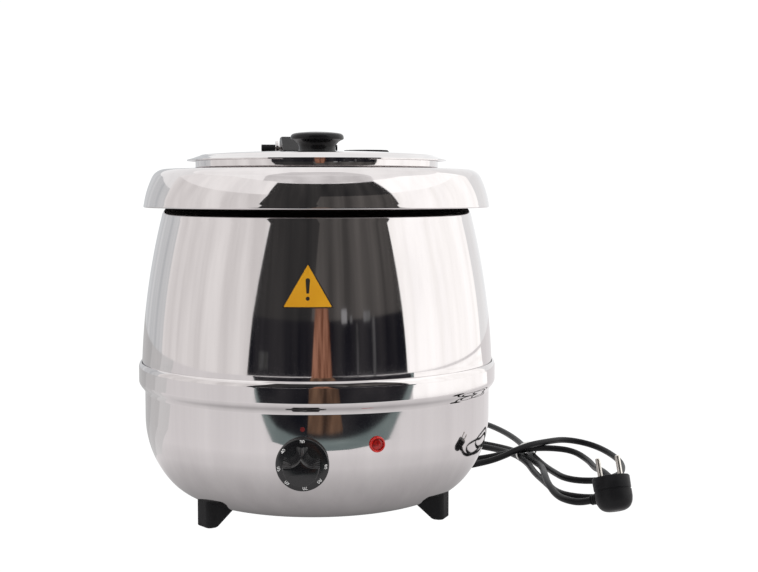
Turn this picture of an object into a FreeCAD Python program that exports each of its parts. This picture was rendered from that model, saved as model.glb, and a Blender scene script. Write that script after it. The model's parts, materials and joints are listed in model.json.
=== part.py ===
import FreeCAD, Part
import math
import os

# Countertop soup kettle, 10 litres, wet heat. Millimetres, +Z up. The origin is on the table
# surface, on the kettle's axis. The control side faces -Y, and azimuths are degrees counted
# from the front (-Y) towards the right (+X).

V = FreeCAD.Vector
ORIGIN = V(0, 0, 0)
UP = V(0, 0, 1)

# ---- driving dimensions ----
SHEET = 1.0                # stainless sheet thickness
BASE_Z = 15.0              # underside of the bowl
BASE_OPENING_R = 74.0      # opening in the bowl's flat base
BASE_FLAT_R = 100.0        # where the flat base turns into the bowl
HEEL_R = 57.0              # radius of the arc between the flat base and the side
BOWL_R = 164.4             # bowl outside radius
BOWL_TOP_Z = 93.0          # where the bowl's curve ends and its wall is upright
BEAD_R = 170.0             # widest radius of the raised band
BEAD_START_Z = 117.0
BEAD_LOW_Z = 127.0
BEAD_HIGH_Z = 139.5
BEAD_TOP_Z = 145.5
BEAD_LIP_SLOPE = 0.6       # drop of the lip's inner edge, per millimetre of thickness
BARREL_R = 166.8           # upper shell at its foot
BARREL_LOW_Z = 147.5       # where the upper shell starts to draw in
WAIST = (160.9, 212.0)     # a point of the upper shell's profile, half way up
SHOULDER_R = 147.4
SHOULDER_Z = 281.0
SHOULDER_END = (142.2, 290.4)
NECK_LOW_Z = 292.2         # where the neck rises from the shoulder
NECK_R = 134.0
NECK_TOP_Z = 323.45
WELL_R = 122.0
WELL_BOTTOM_Z = 59.0
POT_R = 113.0
POT_BOTTOM_Z = 75.0
POT_FLANGE_R = 130.0
RING_SKIRT_R = 163.9
RING_SKIRT_Z = 291.4
RING_TOP_Z = 327.0
RING_NECK_R = 115.2
RING_NECK_TOP_Z = 336.1
LID_R = 123.3
LID_EDGE_Z = 334.8
LID_TOP_Z = 343.3
KNOB_R = 25.4
KNOB_TOP_Z = 361.9

FOOT_AZIMUTHS = (-60.0, 60.0, 180.0)
FOOT_OUTER_R = 131.0
FOOT_TOE_R = 120.0
FOOT_HEEL_R = 101.0
FOOT_WIDTH = 22.0
FOOT_SCREW_R = 112.0

DIAL_AZIMUTH = -10.6
DIAL_Z = 75.0
DIAL_SKIRT_R = 22.8
DIAL_GRIP_R = 16.5
DIAL_BACK = 165.4          # distance of the dial's back from the kettle's axis
DIAL_FRONT = 183.5
SHAFT_R = 3.0
LAMP_AZIMUTH = 11.8
LAMP_Z = 90.0
LAMP_R = 7.0
MARK_Z = 104.5
MARK_R = 2.0
LABEL_AZIMUTH = -9.0
LABEL_LOW_Z = 207.0
LABEL_HIGH_Z = 246.0
LABEL_WIDTH = 45.0
LABEL_CORNER = 1.0

GLAND_Z = 62.0
GLAND_END = 183.5          # how far behind the axis the strain relief ends
CORD_R = 3.5

HINGE_Y = 133.0            # lid hinge axis, behind the kettle's axis
HINGE_Z = 350.0
HINGE_PIN_R = 3.0
HINGE_BLOCK_HALF = 25.0
EAR_OUTER_X = 30.2         # outer faces of the two ears that hold the pin
PIN_LEFT_X = -44.5         # ends of the capped pin
PIN_RIGHT_X = 35.0
CAP_R = 3.8
CAP_WALL = 2.0
NOTCH_AZIMUTH = 145.0
NOTCH_R = 20.5
TRIM_LIP = 2.5             # width of the trim on each side of the notch edge
TRIM_TOP_Z = 346.8
NOTCH_CENTRE_R = 104.0

RUNNING = 0.05             # radial clearance of parts that turn


# ---- shape helpers ----
def rz(radius, height):
    """Point of a profile: radius along X, height along Z."""
    return V(radius, 0, height)


def line(a, b):
    return Part.LineSegment(a, b).toShape()


def arc(a, middle, b):
    return Part.Arc(a, middle, b).toShape()


def spun(face):
    """Solid of revolution of a profile face about the kettle's axis."""
    return face.revolve(ORIGIN, UP, 360)


def spun_sheet(edges, thickness):
    """Sheet metal part: an open profile thickened to one side and spun about the axis."""
    path = Part.Wire(edges)
    return spun(path.makeOffset2D(thickness, 2, True, True, True))


def ends(edges):
    """First and last point of a run of edges that follow one another."""
    ordered = Part.Wire(edges).OrderedVertexes
    return ordered[0].Point, ordered[-1].Point


def spun_between(outer, inner):
    """Sheet metal part from its outer and its inner profile, both drawn in the same direction."""
    outer_start, outer_end = ends(outer)
    inner_start, inner_end = ends(inner)
    caps = [line(outer_end, inner_end), line(inner_start, outer_start)]
    return spun(Part.Face(Part.Wire(Part.__sortEdges__(outer + inner + caps))))


def spun_outline(points):
    """Turned part from a closed profile of straight lines, given as (radius, height)."""
    corners = [rz(*p) for p in points]
    return spun(Part.Face(Part.makePolygon(corners + corners[:1])))


def at_azimuth(shape, azimuth):
    """A shape made on the front side, carried round to an azimuth."""
    turned = shape.copy()
    turned.rotate(ORIGIN, UP, azimuth)
    return turned


def box(low, high):
    size = V(*high) - V(*low)
    return Part.makeBox(size.x, size.y, size.z, V(*low))


def front_rod(radius, start, end, x=0.0, z=0.0):
    """Cylinder that points to the front (-Y), between two distances from the axis."""
    return Part.makeCylinder(radius, end - start, V(x, -start, z), V(0, -1, 0))


def circle_arc(centre_r, centre_z, radius, start, end):
    """Arc of a profile circle, between two directions in degrees counted from +X towards +Z."""
    turns = [math.radians(a) for a in (start, (start + end) / 2, end)]
    return arc(*[rz(centre_r + radius * math.cos(a), centre_z + radius * math.sin(a)) for a in turns])


def as_spline(edge):
    """The same curve as a spline, for arcs whose full circle would reach over the axis."""
    return edge.Curve.toBSpline(edge.FirstParameter, edge.LastParameter).toShape()


def dome_edge(points, slope):
    """Smooth profile from a dome's edge to its top on the axis, where it is level."""
    curve = Part.BSplineCurve()
    curve.interpolate([rz(*p) for p in points], InitialTangent=V(-1, 0, slope), FinalTangent=V(-1, 0, 0))
    return curve.toShape()


def s_bend(a, b):
    """Two equal arcs with upright tangents, from profile point a up to b."""
    dr = (b[0] - a[0]) / 2
    dz = (b[1] - a[1]) / 2
    radius = (dr * dr + dz * dz) / (2 * dr)
    half = math.asin(dz / radius) / 2
    step_r = radius * (1 - math.cos(half))
    step_z = radius * math.sin(half)
    centre = rz(a[0] + dr, a[1] + dz)
    first = arc(rz(*a), rz(a[0] + step_r, a[1] + step_z), centre)
    return [first, arc(centre, rz(b[0] - step_r, b[1] - step_z), rz(*b))]


def tangent_path(points):
    """Straight runs joined by tangent arcs; returns the wire and the radii of its arcs."""
    runs = [points[i + 1] - points[i] for i in range(len(points) - 1)]
    edges = []
    used = []
    start = points[0]
    for i in range(1, len(points) - 1):
        before = V(runs[i - 1])
        after = V(runs[i])
        turn = before.getAngle(after)
        cut = 0.45 * min(before.Length, after.Length)
        used.append(cut / math.tan(turn / 2))
        before.normalize()
        after.normalize()
        enter = points[i] - before * cut
        leave = points[i] + after * cut
        inward = after - before
        inward.normalize()
        middle = points[i] + inward * (used[-1] / math.cos(turn / 2) - used[-1])
        edges.append(line(start, enter))
        edges.append(arc(enter, middle, leave))
        start = leave
    edges.append(line(start, points[-1]))
    return Part.Wire(edges), used


def tube(path, radius):
    """Round tube along a path."""
    first = path.OrderedEdges[0]
    start = first.valueAt(first.FirstParameter)
    heading = first.tangentAt(first.FirstParameter)
    section = Part.Wire(Part.makeCircle(radius, start, heading))
    solid = path.makePipeShell([section], True, True)
    return solid if solid.isValid() else Part.Solid(solid)


# ---- kettle body ----
def bowl_edges(inset):
    """Profile of the bowl from its base opening to its upright wall: base, heel arc, side arc."""
    heel_z = BASE_Z + HEEL_R
    side_r = BOWL_R - BASE_FLAT_R
    gap_z = BOWL_TOP_Z - heel_z
    # radius of the side arc that is tangent to the heel arc and to the upright wall
    side_radius = (side_r ** 2 + gap_z ** 2 - HEEL_R ** 2) / (2 * (side_r - HEEL_R))
    turn = math.degrees(math.atan2(gap_z, side_radius - side_r))
    return [
        line(rz(BASE_OPENING_R, BASE_Z + inset), rz(BASE_FLAT_R, BASE_Z + inset)),
        circle_arc(BASE_FLAT_R, heel_z, HEEL_R - inset, -90, -turn),
        as_spline(circle_arc(BOWL_R - side_radius, BOWL_TOP_Z, side_radius - inset, -turn, 0)),
    ]


def bowl_space(inset):
    """Solid that fills the bowl up to its upright wall, as a cutting tool."""
    top = BEAD_START_Z
    edges = bowl_edges(inset)
    edges.append(line(rz(BOWL_R - inset, BOWL_TOP_Z), rz(BOWL_R - inset, top)))
    edges.append(line(rz(BOWL_R - inset, top), rz(0, top)))
    edges.append(line(rz(0, top), rz(0, BASE_Z + inset)))
    edges.append(line(rz(0, BASE_Z + inset), rz(BASE_OPENING_R, BASE_Z + inset)))
    return spun(Part.Face(Part.Wire(edges)))


def lower_shell_edges(inset):
    """Profile of the bowl, its upright wall and the raised band."""
    wall_r = BOWL_R - inset
    bead_r = BEAD_R - inset
    lip_z = BEAD_TOP_Z - BEAD_LIP_SLOPE * inset
    edges = bowl_edges(inset)
    edges.append(line(rz(wall_r, BOWL_TOP_Z), rz(wall_r, BEAD_START_Z)))
    edges += s_bend((wall_r, BEAD_START_Z), (bead_r, BEAD_LOW_Z))
    edges.append(line(rz(bead_r, BEAD_LOW_Z), rz(bead_r, BEAD_HIGH_Z)))
    edges.append(arc(rz(bead_r, BEAD_HIGH_Z), rz(bead_r - 0.5, BEAD_HIGH_Z + 3.2), rz(bead_r - 1.9, lip_z)))
    return edges


def lower_shell():
    shell = spun_between(lower_shell_edges(0), lower_shell_edges(SHEET))
    holes = [at_azimuth(front_rod(4.5, 150, 175, z=DIAL_Z), DIAL_AZIMUTH)]
    for side in (-1, 1):
        holes.append(at_azimuth(front_rod(2.1, 150, 175, x=14 * side, z=DIAL_Z), DIAL_AZIMUTH))
    holes.append(at_azimuth(front_rod(6.0, 150, 175, z=LAMP_Z), LAMP_AZIMUTH))
    holes.append(at_azimuth(front_rod(6.0, 140, 175, z=GLAND_Z), 180))
    for azimuth in FOOT_AZIMUTHS:
        holes.append(at_azimuth(Part.makeCylinder(2.2, 20, V(0, -FOOT_SCREW_R, 8)), azimuth))
    for azimuth in (0, 120, 240):
        holes.append(at_azimuth(Part.makeCylinder(1.5, 8, V(0, -80, 10)), azimuth))
    return shell.cut(Part.makeCompound(holes))


def upper_shell():
    skirt_z = BEAD_LOW_Z - 2
    edges = [
        line(rz(BARREL_R, skirt_z), rz(BARREL_R, BARREL_LOW_Z)),
        arc(rz(BARREL_R, BARREL_LOW_Z), rz(*WAIST), rz(SHOULDER_R, SHOULDER_Z)),
        arc(rz(SHOULDER_R, SHOULDER_Z), rz(145.6, 286.4), rz(*SHOULDER_END)),
        line(rz(*SHOULDER_END), rz(NECK_R + 2, NECK_LOW_Z)),
        arc(rz(NECK_R + 2, NECK_LOW_Z), rz(NECK_R + 0.6, NECK_LOW_Z + 0.6), rz(NECK_R, NECK_LOW_Z + 2)),
        line(rz(NECK_R, NECK_LOW_Z + 2), rz(NECK_R, NECK_TOP_Z)),
        line(rz(NECK_R, NECK_TOP_Z), rz(WELL_R + 3, NECK_TOP_Z)),
    ]
    return spun_sheet(edges, SHEET)


def base_plate():
    plate = spun_outline([(0, 13.8), (86, 13.8), (86, BASE_Z), (0, BASE_Z)])
    cutters = []
    for i in range(12):
        slot = box((-2, -62, 12), (2, -40, 17))
        cutters.append(at_azimuth(slot, 15 + 30 * i))
    for azimuth in (0, 120, 240):
        cutters.append(at_azimuth(Part.makeCylinder(1.7, 8, V(0, -80, 10)), azimuth))
    return plate.cut(Part.makeCompound(cutters))


def base_screws():
    head = Part.makeCylinder(3.2, 1.8, V(0, -80, 12.0))
    shank = Part.makeCylinder(1.5, 6.5, V(0, -80, 13.8))
    return [at_azimuth(head.fuse(shank), azimuth) for azimuth in (0, 120, 240)]


def foot(azimuth):
    side = [
        V(0, -FOOT_OUTER_R, 0), V(0, -FOOT_OUTER_R, 40), V(0, -90, 40), V(0, -90, 17),
        V(0, -FOOT_HEEL_R, BASE_Z), V(0, -FOOT_TOE_R, 0),
    ]
    block = Part.Face(Part.makePolygon(side + side[:1])).extrude(V(FOOT_WIDTH, 0, 0))
    block.translate(V(-FOOT_WIDTH / 2, 0, 0))
    upright = [
        e for e in block.Edges
        if abs(e.Length - 40) < 0.01 and abs(e.BoundBox.YMin + FOOT_OUTER_R) < 0.01
    ]
    block = block.makeFillet(5.0, upright)
    slanted = [
        e for e in block.Edges
        if e.BoundBox.ZMax < BASE_Z + 0.1 and e.BoundBox.ZMin > -0.1
        and e.BoundBox.YLength > 18 and e.BoundBox.YLength < 20
    ]
    block = block.makeFillet(3.0, slanted)
    sole = [e for e in block.Edges if e.BoundBox.ZMax < 0.01]
    block = block.makeChamfer(0.8, sole)
    block = block.cut(bowl_space(0))
    block = block.cut(Part.makeCylinder(2.0, 40, V(0, -FOOT_SCREW_R, 9)))
    return at_azimuth(max(block.Solids, key=lambda s: s.Volume), azimuth)


def foot_screws():
    shank = Part.makeCylinder(2.0, 11.5, V(0, -FOOT_SCREW_R, 9.0))
    head = Part.makeCylinder(3.8, 3.0, V(0, -FOOT_SCREW_R, 17.5))
    head = head.common(bowl_space(SHEET))
    return [at_azimuth(shank.fuse(head).removeSplitter(), azimuth) for azimuth in FOOT_AZIMUTHS]


# ---- water well and heating ----
def water_well():
    floor_z = WELL_BOTTOM_Z
    bend = 10.0
    edges = [
        line(rz(131, NECK_TOP_Z), rz(WELL_R + 2, NECK_TOP_Z)),
        arc(rz(WELL_R + 2, NECK_TOP_Z), rz(WELL_R + 0.59, NECK_TOP_Z - 0.59), rz(WELL_R, NECK_TOP_Z - 2)),
        line(rz(WELL_R, NECK_TOP_Z - 2), rz(WELL_R, floor_z + bend)),
        arc(
            rz(WELL_R, floor_z + bend),
            rz(WELL_R - bend * (1 - math.sqrt(0.5)), floor_z + bend * (1 - math.sqrt(0.5))),
            rz(WELL_R - bend, floor_z),
        ),
        line(rz(WELL_R - bend, floor_z), rz(0, floor_z)),
    ]
    return spun_sheet(edges, -SHEET)


HEATER_RING_R = 85.0
HEATER_TUBE_R = 4.0
HEATER_Z = WELL_BOTTOM_Z - HEATER_TUBE_R
HEATER_GAP = 14.0          # half the angle left open between the element's two ends


def heater_element():
    drop = 10.0
    ends = []
    for side in (-1, 1):
        a = math.radians(HEATER_GAP) * side
        foot_point = V(HEATER_RING_R * math.sin(a), -HEATER_RING_R * math.cos(a), HEATER_Z)
        inward = V(-math.cos(a), -math.sin(a), 0) * side
        below = foot_point + inward * drop - UP * drop
        bend = foot_point + inward * drop * math.sqrt(0.5) - UP * drop * (1 - math.sqrt(0.5))
        ends.append((foot_point, bend, below, below - UP * 12))
    left, right = ends
    opposite = V(0, HEATER_RING_R, HEATER_Z)
    path = Part.Wire([
        line(left[3], left[2]),
        arc(left[2], left[1], left[0]),
        arc(left[0], opposite, right[0]),
        arc(right[0], right[1], right[2]),
        line(right[2], right[3]),
    ])
    return tube(path, HEATER_TUBE_R)


def clamp_plate():
    top = HEATER_Z - HEATER_TUBE_R
    plate = spun_outline([(3.3, top - 1.5), (97, top - 1.5), (97, top), (3.3, top)])
    return plate.cut(box((-36, -99, top - 5), (36, -66, top + 5)))


def clamp_stud():
    return Part.makeCylinder(3.0, 20, V(0, 0, WELL_BOTTOM_Z - 20))


def clamp_nut():
    top = HEATER_Z - HEATER_TUBE_R - 1.5
    corners = [
        V(6.4 * math.cos(math.radians(60 * i)), 6.4 * math.sin(math.radians(60 * i)), top - 5)
        for i in range(6)
    ]
    nut = Part.Face(Part.makePolygon(corners + corners[:1])).extrude(V(0, 0, 5))
    return nut.cut(Part.makeCylinder(3.0, 10, V(0, 0, top - 7)))


# ---- controls ----
def thermostat_bracket():
    outer = box((-25, -170, DIAL_Z - 14), (25, -148.5, DIAL_Z + 14))
    inner = box((-23.5, -171, DIAL_Z - 15), (23.5, -150, DIAL_Z + 15))
    shape = outer.cut(inner).cut(front_rod(4.5, 140, 160, z=DIAL_Z))
    for side in (-1, 1):
        shape = shape.cut(front_rod(2.0, 140, 160, x=14 * side, z=DIAL_Z))
    return at_azimuth(shape, DIAL_AZIMUTH).common(bowl_space(SHEET))


def thermostat_body():
    body = box((-19, -148.5, DIAL_Z - 13), (19, -128, DIAL_Z + 13))
    upright = [e for e in body.Edges if e.BoundBox.YLength > 20]
    body = body.makeFillet(3.0, upright)
    neck = front_rod(4.4, 148.5, 155, z=DIAL_Z)
    bore = front_rod(SHAFT_R + RUNNING, 140, 160, z=DIAL_Z)
    return at_azimuth(body.fuse(neck).cut(bore), DIAL_AZIMUTH)


def thermostat_screws():
    screws = []
    for side in (-1, 1):
        shank = front_rod(2.0, 148.6, 163, x=14 * side, z=DIAL_Z)
        head = front_rod(3.6, 155, 164.8, x=14 * side, z=DIAL_Z).cut(bowl_space(0))
        screws.append(at_azimuth(shank.fuse(head), DIAL_AZIMUTH))
    return screws


def capillary():
    """Thin sensing tube from the thermostat to the bulb held under the well."""
    bulb_z = WELL_BOTTOM_Z - 2.25
    points = [
        V(14, -134, DIAL_Z - 13), V(14, -134, 50), V(14.8, -112, 44), V(14.8, -82, 44), V(14, -66, bulb_z),
        V(14, -58, bulb_z),
    ]
    path, _ = tangent_path(points)
    bulb = Part.makeCylinder(2.2, 40, V(14, -18, bulb_z), V(0, -1, 0))
    shape = tube(path, 0.8).fuse(bulb)
    return at_azimuth(shape, DIAL_AZIMUTH)


def dial_shaft():
    shaft = front_rod(SHAFT_R, 141, DIAL_FRONT - 6, z=DIAL_Z)
    flat = box((-4, -(DIAL_FRONT - 5), DIAL_Z + 1.8), (4, -(DIAL_BACK + 4), DIAL_Z + 5))
    return at_azimuth(shaft.cut(flat), DIAL_AZIMUTH)


def dial():
    skirt_front = DIAL_BACK + 4.2
    skirt = front_rod(DIAL_SKIRT_R, DIAL_BACK, skirt_front, z=DIAL_Z)
    front_rim = [e for e in skirt.Edges if abs(e.BoundBox.YMax + skirt_front) < 0.01]
    skirt = skirt.makeChamfer(1.4, front_rim)
    grip = Part.makeCone(
        DIAL_GRIP_R, DIAL_GRIP_R - 1.3, DIAL_FRONT - skirt_front, V(0, -skirt_front, DIAL_Z), V(0, -1, 0)
    )
    front_edge = [e for e in grip.Edges if abs(e.BoundBox.YMax + DIAL_FRONT) < 0.01]
    grip = grip.makeFillet(1.0, front_edge)
    for side in (-1, 1):
        scoop = front_rod(9.5, skirt_front + 1.5, DIAL_FRONT + 1, x=11.6 * side, z=DIAL_Z + 11.0)
        grip = grip.cut(scoop)
    body = skirt.fuse(grip)
    body = body.cut(front_rod(19.5, DIAL_BACK - 1, DIAL_BACK + 2.6, z=DIAL_Z))
    hub = front_rod(6.0, DIAL_BACK, DIAL_BACK + 3, z=DIAL_Z)
    body = body.fuse(hub)
    moved = at_azimuth(body, DIAL_AZIMUTH)
    return moved.cut(dial_shaft()).cut(at_azimuth(front_rod(SHAFT_R, 160, DIAL_BACK + 4, z=DIAL_Z), DIAL_AZIMUTH))


def index_mark():
    mark = front_rod(MARK_R, 160, BOWL_R + 0.3, z=MARK_Z)
    return at_azimuth(mark, DIAL_AZIMUTH).cut(bowl_space(0))


def lamp_lens():
    stem = front_rod(5.6, 158, 166.2, z=LAMP_Z)
    cap = front_rod(LAMP_R, 162.0, 167.2, z=LAMP_Z)
    front_edge = [e for e in cap.Edges if abs(e.BoundBox.YMax + 167.2) < 0.01]
    cap = cap.makeFillet(1.8, front_edge).cut(bowl_space(0))
    return at_azimuth(stem.fuse(cap), LAMP_AZIMUTH)


def lamp_body():
    body = front_rod(7.5, 134, 158, z=LAMP_Z)
    for side in (-1, 1):
        body = body.fuse(box((3 * side - 0.4, -134, LAMP_Z - 2.4), (3 * side + 0.4, -125, LAMP_Z + 2.4)))
    return at_azimuth(body, LAMP_AZIMUTH)


def warning_label():
    """Triangular sheet that lies on the upper shell."""
    half = LABEL_WIDTH / 2
    corners = [V(-half, -100, LABEL_LOW_Z), V(half, -100, LABEL_LOW_Z), V(0, -100, LABEL_HIGH_Z)]
    prism = Part.Face(Part.makePolygon(corners + corners[:1])).extrude(V(0, -90, 0))
    upright = [e for e in prism.Edges if abs(e.Length - 90) < 0.01]
    prism = at_azimuth(prism.makeFillet(LABEL_CORNER, upright), LABEL_AZIMUTH)
    layers = []
    for offset in (0.0, 0.3):
        low = rz(BARREL_R + offset, BARREL_LOW_Z)
        high = rz(SHOULDER_R + offset, SHOULDER_Z)
        edges = [
            arc(low, rz(WAIST[0] + offset, WAIST[1]), high),
            line(high, rz(0, SHOULDER_Z)),
            line(rz(0, SHOULDER_Z), rz(0, BARREL_LOW_Z)),
            line(rz(0, BARREL_LOW_Z), low),
        ]
        layers.append(spun(Part.Face(Part.Wire(edges))))
    return prism.common(layers[1]).cut(layers[0])


# ---- mains connection ----
def cable_gland():
    flange = front_rod(10.5, 150, 166.0, z=GLAND_Z)
    rim = [e for e in flange.Edges if abs(e.BoundBox.YMax + 166.0) < 0.01]
    sleeve = Part.makeCone(6.6, 4.9, GLAND_END - 160, V(0, -160, GLAND_Z), V(0, -1, 0))
    outside = flange.makeFillet(1.5, rim).fuse(sleeve).cut(bowl_space(0))
    stem = front_rod(5.9, 148, 162, z=GLAND_Z)
    bore = front_rod(CORD_R, 140, 190, z=GLAND_Z)
    return at_azimuth(outside.fuse(stem).cut(bore).removeSplitter(), 180)


def gland_nut():
    corners = [
        V(10 * math.cos(math.radians(60 * i)), -153.5, GLAND_Z + 10 * math.sin(math.radians(60 * i)))
        for i in range(6)
    ]
    nut = Part.Face(Part.makePolygon(corners + corners[:1])).extrude(V(0, 4.5, 0))
    return at_azimuth(nut.cut(front_rod(5.9, 140, 160, z=GLAND_Z)), 180)


def inner_cable():
    points = [V(0, GLAND_END, GLAND_Z), V(0, 131, GLAND_Z), V(0, 104, 38), V(0, 84, 26), V(0, 56, 26)]
    path, _ = tangent_path(points)
    return tube(path, CORD_R)


def terminal_block():
    block = box((-16, 38, BASE_Z), (16, 56, 33))
    pits = [Part.makeCylinder(3.0, 8, V(x, 47, 29)) for x in (-10, 0, 10)]
    return block.cut(Part.makeCompound(pits))


def terminal_screws():
    return [Part.makeCylinder(2.6, 2.5, V(x, 47, 29)) for x in (-10, 0, 10)]


def earth_stud():
    shank = Part.makeCylinder(2.5, 13, V(50, 60, BASE_Z + SHEET))
    nut = Part.makeCylinder(4.5, 4, V(50, 60, BASE_Z + 3))
    return shank.fuse(nut)


def internal_wires():
    """Insulated leads from the terminal block to the thermostat and to the lamp."""
    routes = [
        [V(-10, 38, 22), V(-10, 22, 22), V(-26, -30, 20), V(-32, -80, 24), V(-29.5, -132.9, 36), V(-29.5, -132.9, 62)],
        [V(10, 38, 22), V(10, 22, 22), V(36, -20, 20), V(38, -90, 24), V(29.4, -126.2, 38), V(29.4, -126.2, 86.6)],
    ]
    wires = []
    for points in routes:
        path, _ = tangent_path(points)
        wires.append(tube(path, 1.2))
    return wires


# ---- free cord on the table ----
# The lead leaves the strain relief, sinks to the table behind the kettle and runs to the hank.
LEAD_POINTS = [
    (0, 183.5, 62), (0, 206, 62), (1, 230, 55), (4, 252, 41), (10, 273, 24), (20, 294, 10),
    (36, 314, 3.6), (60, 330, 3.5), (96, 332, 3.5), (134, 320, 3.5),
]
# Outline of the tied hank seen from above: loops to the right, loops behind, a waist between.
HANK_OUTLINE = [
    (273, 213), (300, 240), (325, 242), (353, 228), (369, 200), (371, 160), (362, 112), (346, 70),
    (324, 28), (312, -6), (290, -24), (266, -30), (262, -50), (250, -73), (224, -62), (219, -22),
    (220, 30), (228, 75), (240, 120), (238, 150), (205, 142), (160, 126), (120, 120), (86, 136),
    (77, 178), (96, 210), (130, 213), (190, 198), (232, 202), (226, 228), (200, 262), (166, 290),
    (128, 312), (132, 334), (160, 330), (148, 392), (156, 442), (192, 472), (240, 464), (272, 424),
    (286, 352), (287, 290), (281, 235),
]
HANK_HEIGHT = 22.0
TIE_PLACE = V(256, 182, 0)
TIE_TURN = 38.0            # direction of the tie's width, degrees from +X
TIE_WIDTH = 42.0
TIE_HEIGHT = 23.5
TIE_THICK = 1.3

PLUG_CENTRE = V(273.8, -69.0, 22.8)
PLUG_PINS_WAY = V(-0.0629, 0.3585, 0.93)
PLUG_ROW_WAY = V(-0.8935, 0.3955, -0.2)
PLUG_R = 18.0
PLUG_FRONT = 12.0          # pin face, ahead of the plug's centre
PLUG_BACK = 21.0           # rounded back, behind the plug's centre
PLUG_OUTLET_DROP = 6.0     # how far behind the centre the cord leaves the plug
PLUG_OUTLET_LENGTH = 26.0
PLUG_OUTLET_TURN = -29.0   # direction of the cord's outlet, degrees from the line of the pins
PIN_SPACING = 19.0
PIN_R = 2.4
PIN_LENGTH = 19.0


def cord_lead():
    points = [V(*p) for p in LEAD_POINTS]
    path, radii = tangent_path(points)
    print("cord bend radii", [round(r, 1) for r in radii])
    solid = tube(path, CORD_R)
    expected = math.pi * CORD_R ** 2 * path.Length
    print("cord volume", round(solid.Volume), "section times length", round(expected))
    open_stretch = solid.cut(cord_hank())
    return max(open_stretch.Solids, key=lambda s: s.Volume)


def cord_hank():
    corners = [V(x, y, 0) for x, y in HANK_OUTLINE]
    solid = Part.Face(Part.makePolygon(corners + corners[:1])).extrude(V(0, 0, HANK_HEIGHT))
    return solid.cut(cord_tie()).cut(plug_body())


def cord_tie():
    """Wire tie as a rectangular loop round the hank's waist."""
    half = TIE_WIDTH / 2
    outer = box((-half, -TIE_THICK / 2, 0), (half, TIE_THICK / 2, TIE_HEIGHT))
    inner = box(
        (-half + TIE_THICK, -TIE_THICK, TIE_THICK), (half - TIE_THICK, TIE_THICK, TIE_HEIGHT - TIE_THICK)
    )
    tie = outer.cut(inner)
    tie.rotate(ORIGIN, UP, TIE_TURN)
    tie.translate(TIE_PLACE)
    return tie


def placed_plug(shape):
    """A piece of the plug, made with its pins along +Z and side by side along X, where it lies."""
    across = PLUG_PINS_WAY.cross(PLUG_ROW_WAY)
    turn = FreeCAD.Rotation(PLUG_ROW_WAY, across, PLUG_PINS_WAY, "ZXY")
    moved = shape.copy()
    moved.Placement = FreeCAD.Placement(PLUG_CENTRE, turn)
    return moved


def plug_body():
    edges = [
        line(rz(0, -PLUG_BACK), rz(8, -PLUG_BACK)),
        arc(rz(8, -PLUG_BACK), rz(15.4, -16.5), rz(PLUG_R, -8)),
        line(rz(PLUG_R, -8), rz(PLUG_R, PLUG_FRONT - 1)),
        line(rz(PLUG_R, PLUG_FRONT - 1), rz(PLUG_R - 1, PLUG_FRONT)),
        line(rz(PLUG_R - 1, PLUG_FRONT), rz(0, PLUG_FRONT)),
        line(rz(0, PLUG_FRONT), rz(0, -PLUG_BACK)),
    ]
    body = spun(Part.Face(Part.Wire(edges)))
    outlet = Part.makeCone(
        7.5, 5.0, PLUG_OUTLET_LENGTH - 6, V(6, 0, -PLUG_OUTLET_DROP), V(1, 0, 0)
    )
    outlet.rotate(ORIGIN, UP, PLUG_OUTLET_TURN)
    body = body.fuse(outlet)
    for side in (-1, 1):
        body = body.cut(box((-3.6, side * 20 - 4.5, -4), (3.6, side * 20 + 4.5, PLUG_FRONT + 1)))
        body = body.cut(Part.makeCylinder(PIN_R, 14, V(side * PIN_SPACING / 2, 0, PLUG_FRONT - 10)))
    return placed_plug(body)


def plug_pins():
    pins = []
    for side in (-1, 1):
        pin = Part.makeCylinder(PIN_R, PIN_LENGTH + 10, V(side * PIN_SPACING / 2, 0, PLUG_FRONT - 10))
        tip = [e for e in pin.Edges if e.BoundBox.ZMin > PLUG_FRONT + PIN_LENGTH - 0.1]
        pins.append(placed_plug(pin.makeFillet(1.2, tip)))
    return pins


def plug_earth_strips():
    strips = []
    for side in (-1, 1):
        face = side * 15.5
        low = min(face, face + side * 1.2)
        strips.append(placed_plug(box((-2.0, low, -3.5), (2.0, low + 1.2, PLUG_FRONT - 0.5))))
    return strips


# ---- soup pot, ring and lid ----
def soup_pot():
    bend = 12.0
    edges = [
        line(rz(POT_FLANGE_R, NECK_TOP_Z + SHEET), rz(POT_R + 2, NECK_TOP_Z + SHEET)),
        arc(
            rz(POT_R + 2, NECK_TOP_Z + SHEET), rz(POT_R + 0.59, NECK_TOP_Z + SHEET - 0.59),
            rz(POT_R, NECK_TOP_Z + SHEET - 2),
        ),
        line(rz(POT_R, NECK_TOP_Z + SHEET - 2), rz(POT_R, POT_BOTTOM_Z + bend)),
        arc(
            rz(POT_R, POT_BOTTOM_Z + bend),
            rz(POT_R - bend * (1 - math.sqrt(0.5)), POT_BOTTOM_Z + bend * (1 - math.sqrt(0.5))),
            rz(POT_R - bend, POT_BOTTOM_Z),
        ),
        line(rz(POT_R - bend, POT_BOTTOM_Z), rz(0, POT_BOTTOM_Z)),
    ]
    return spun_sheet(edges, -SHEET)


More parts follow.
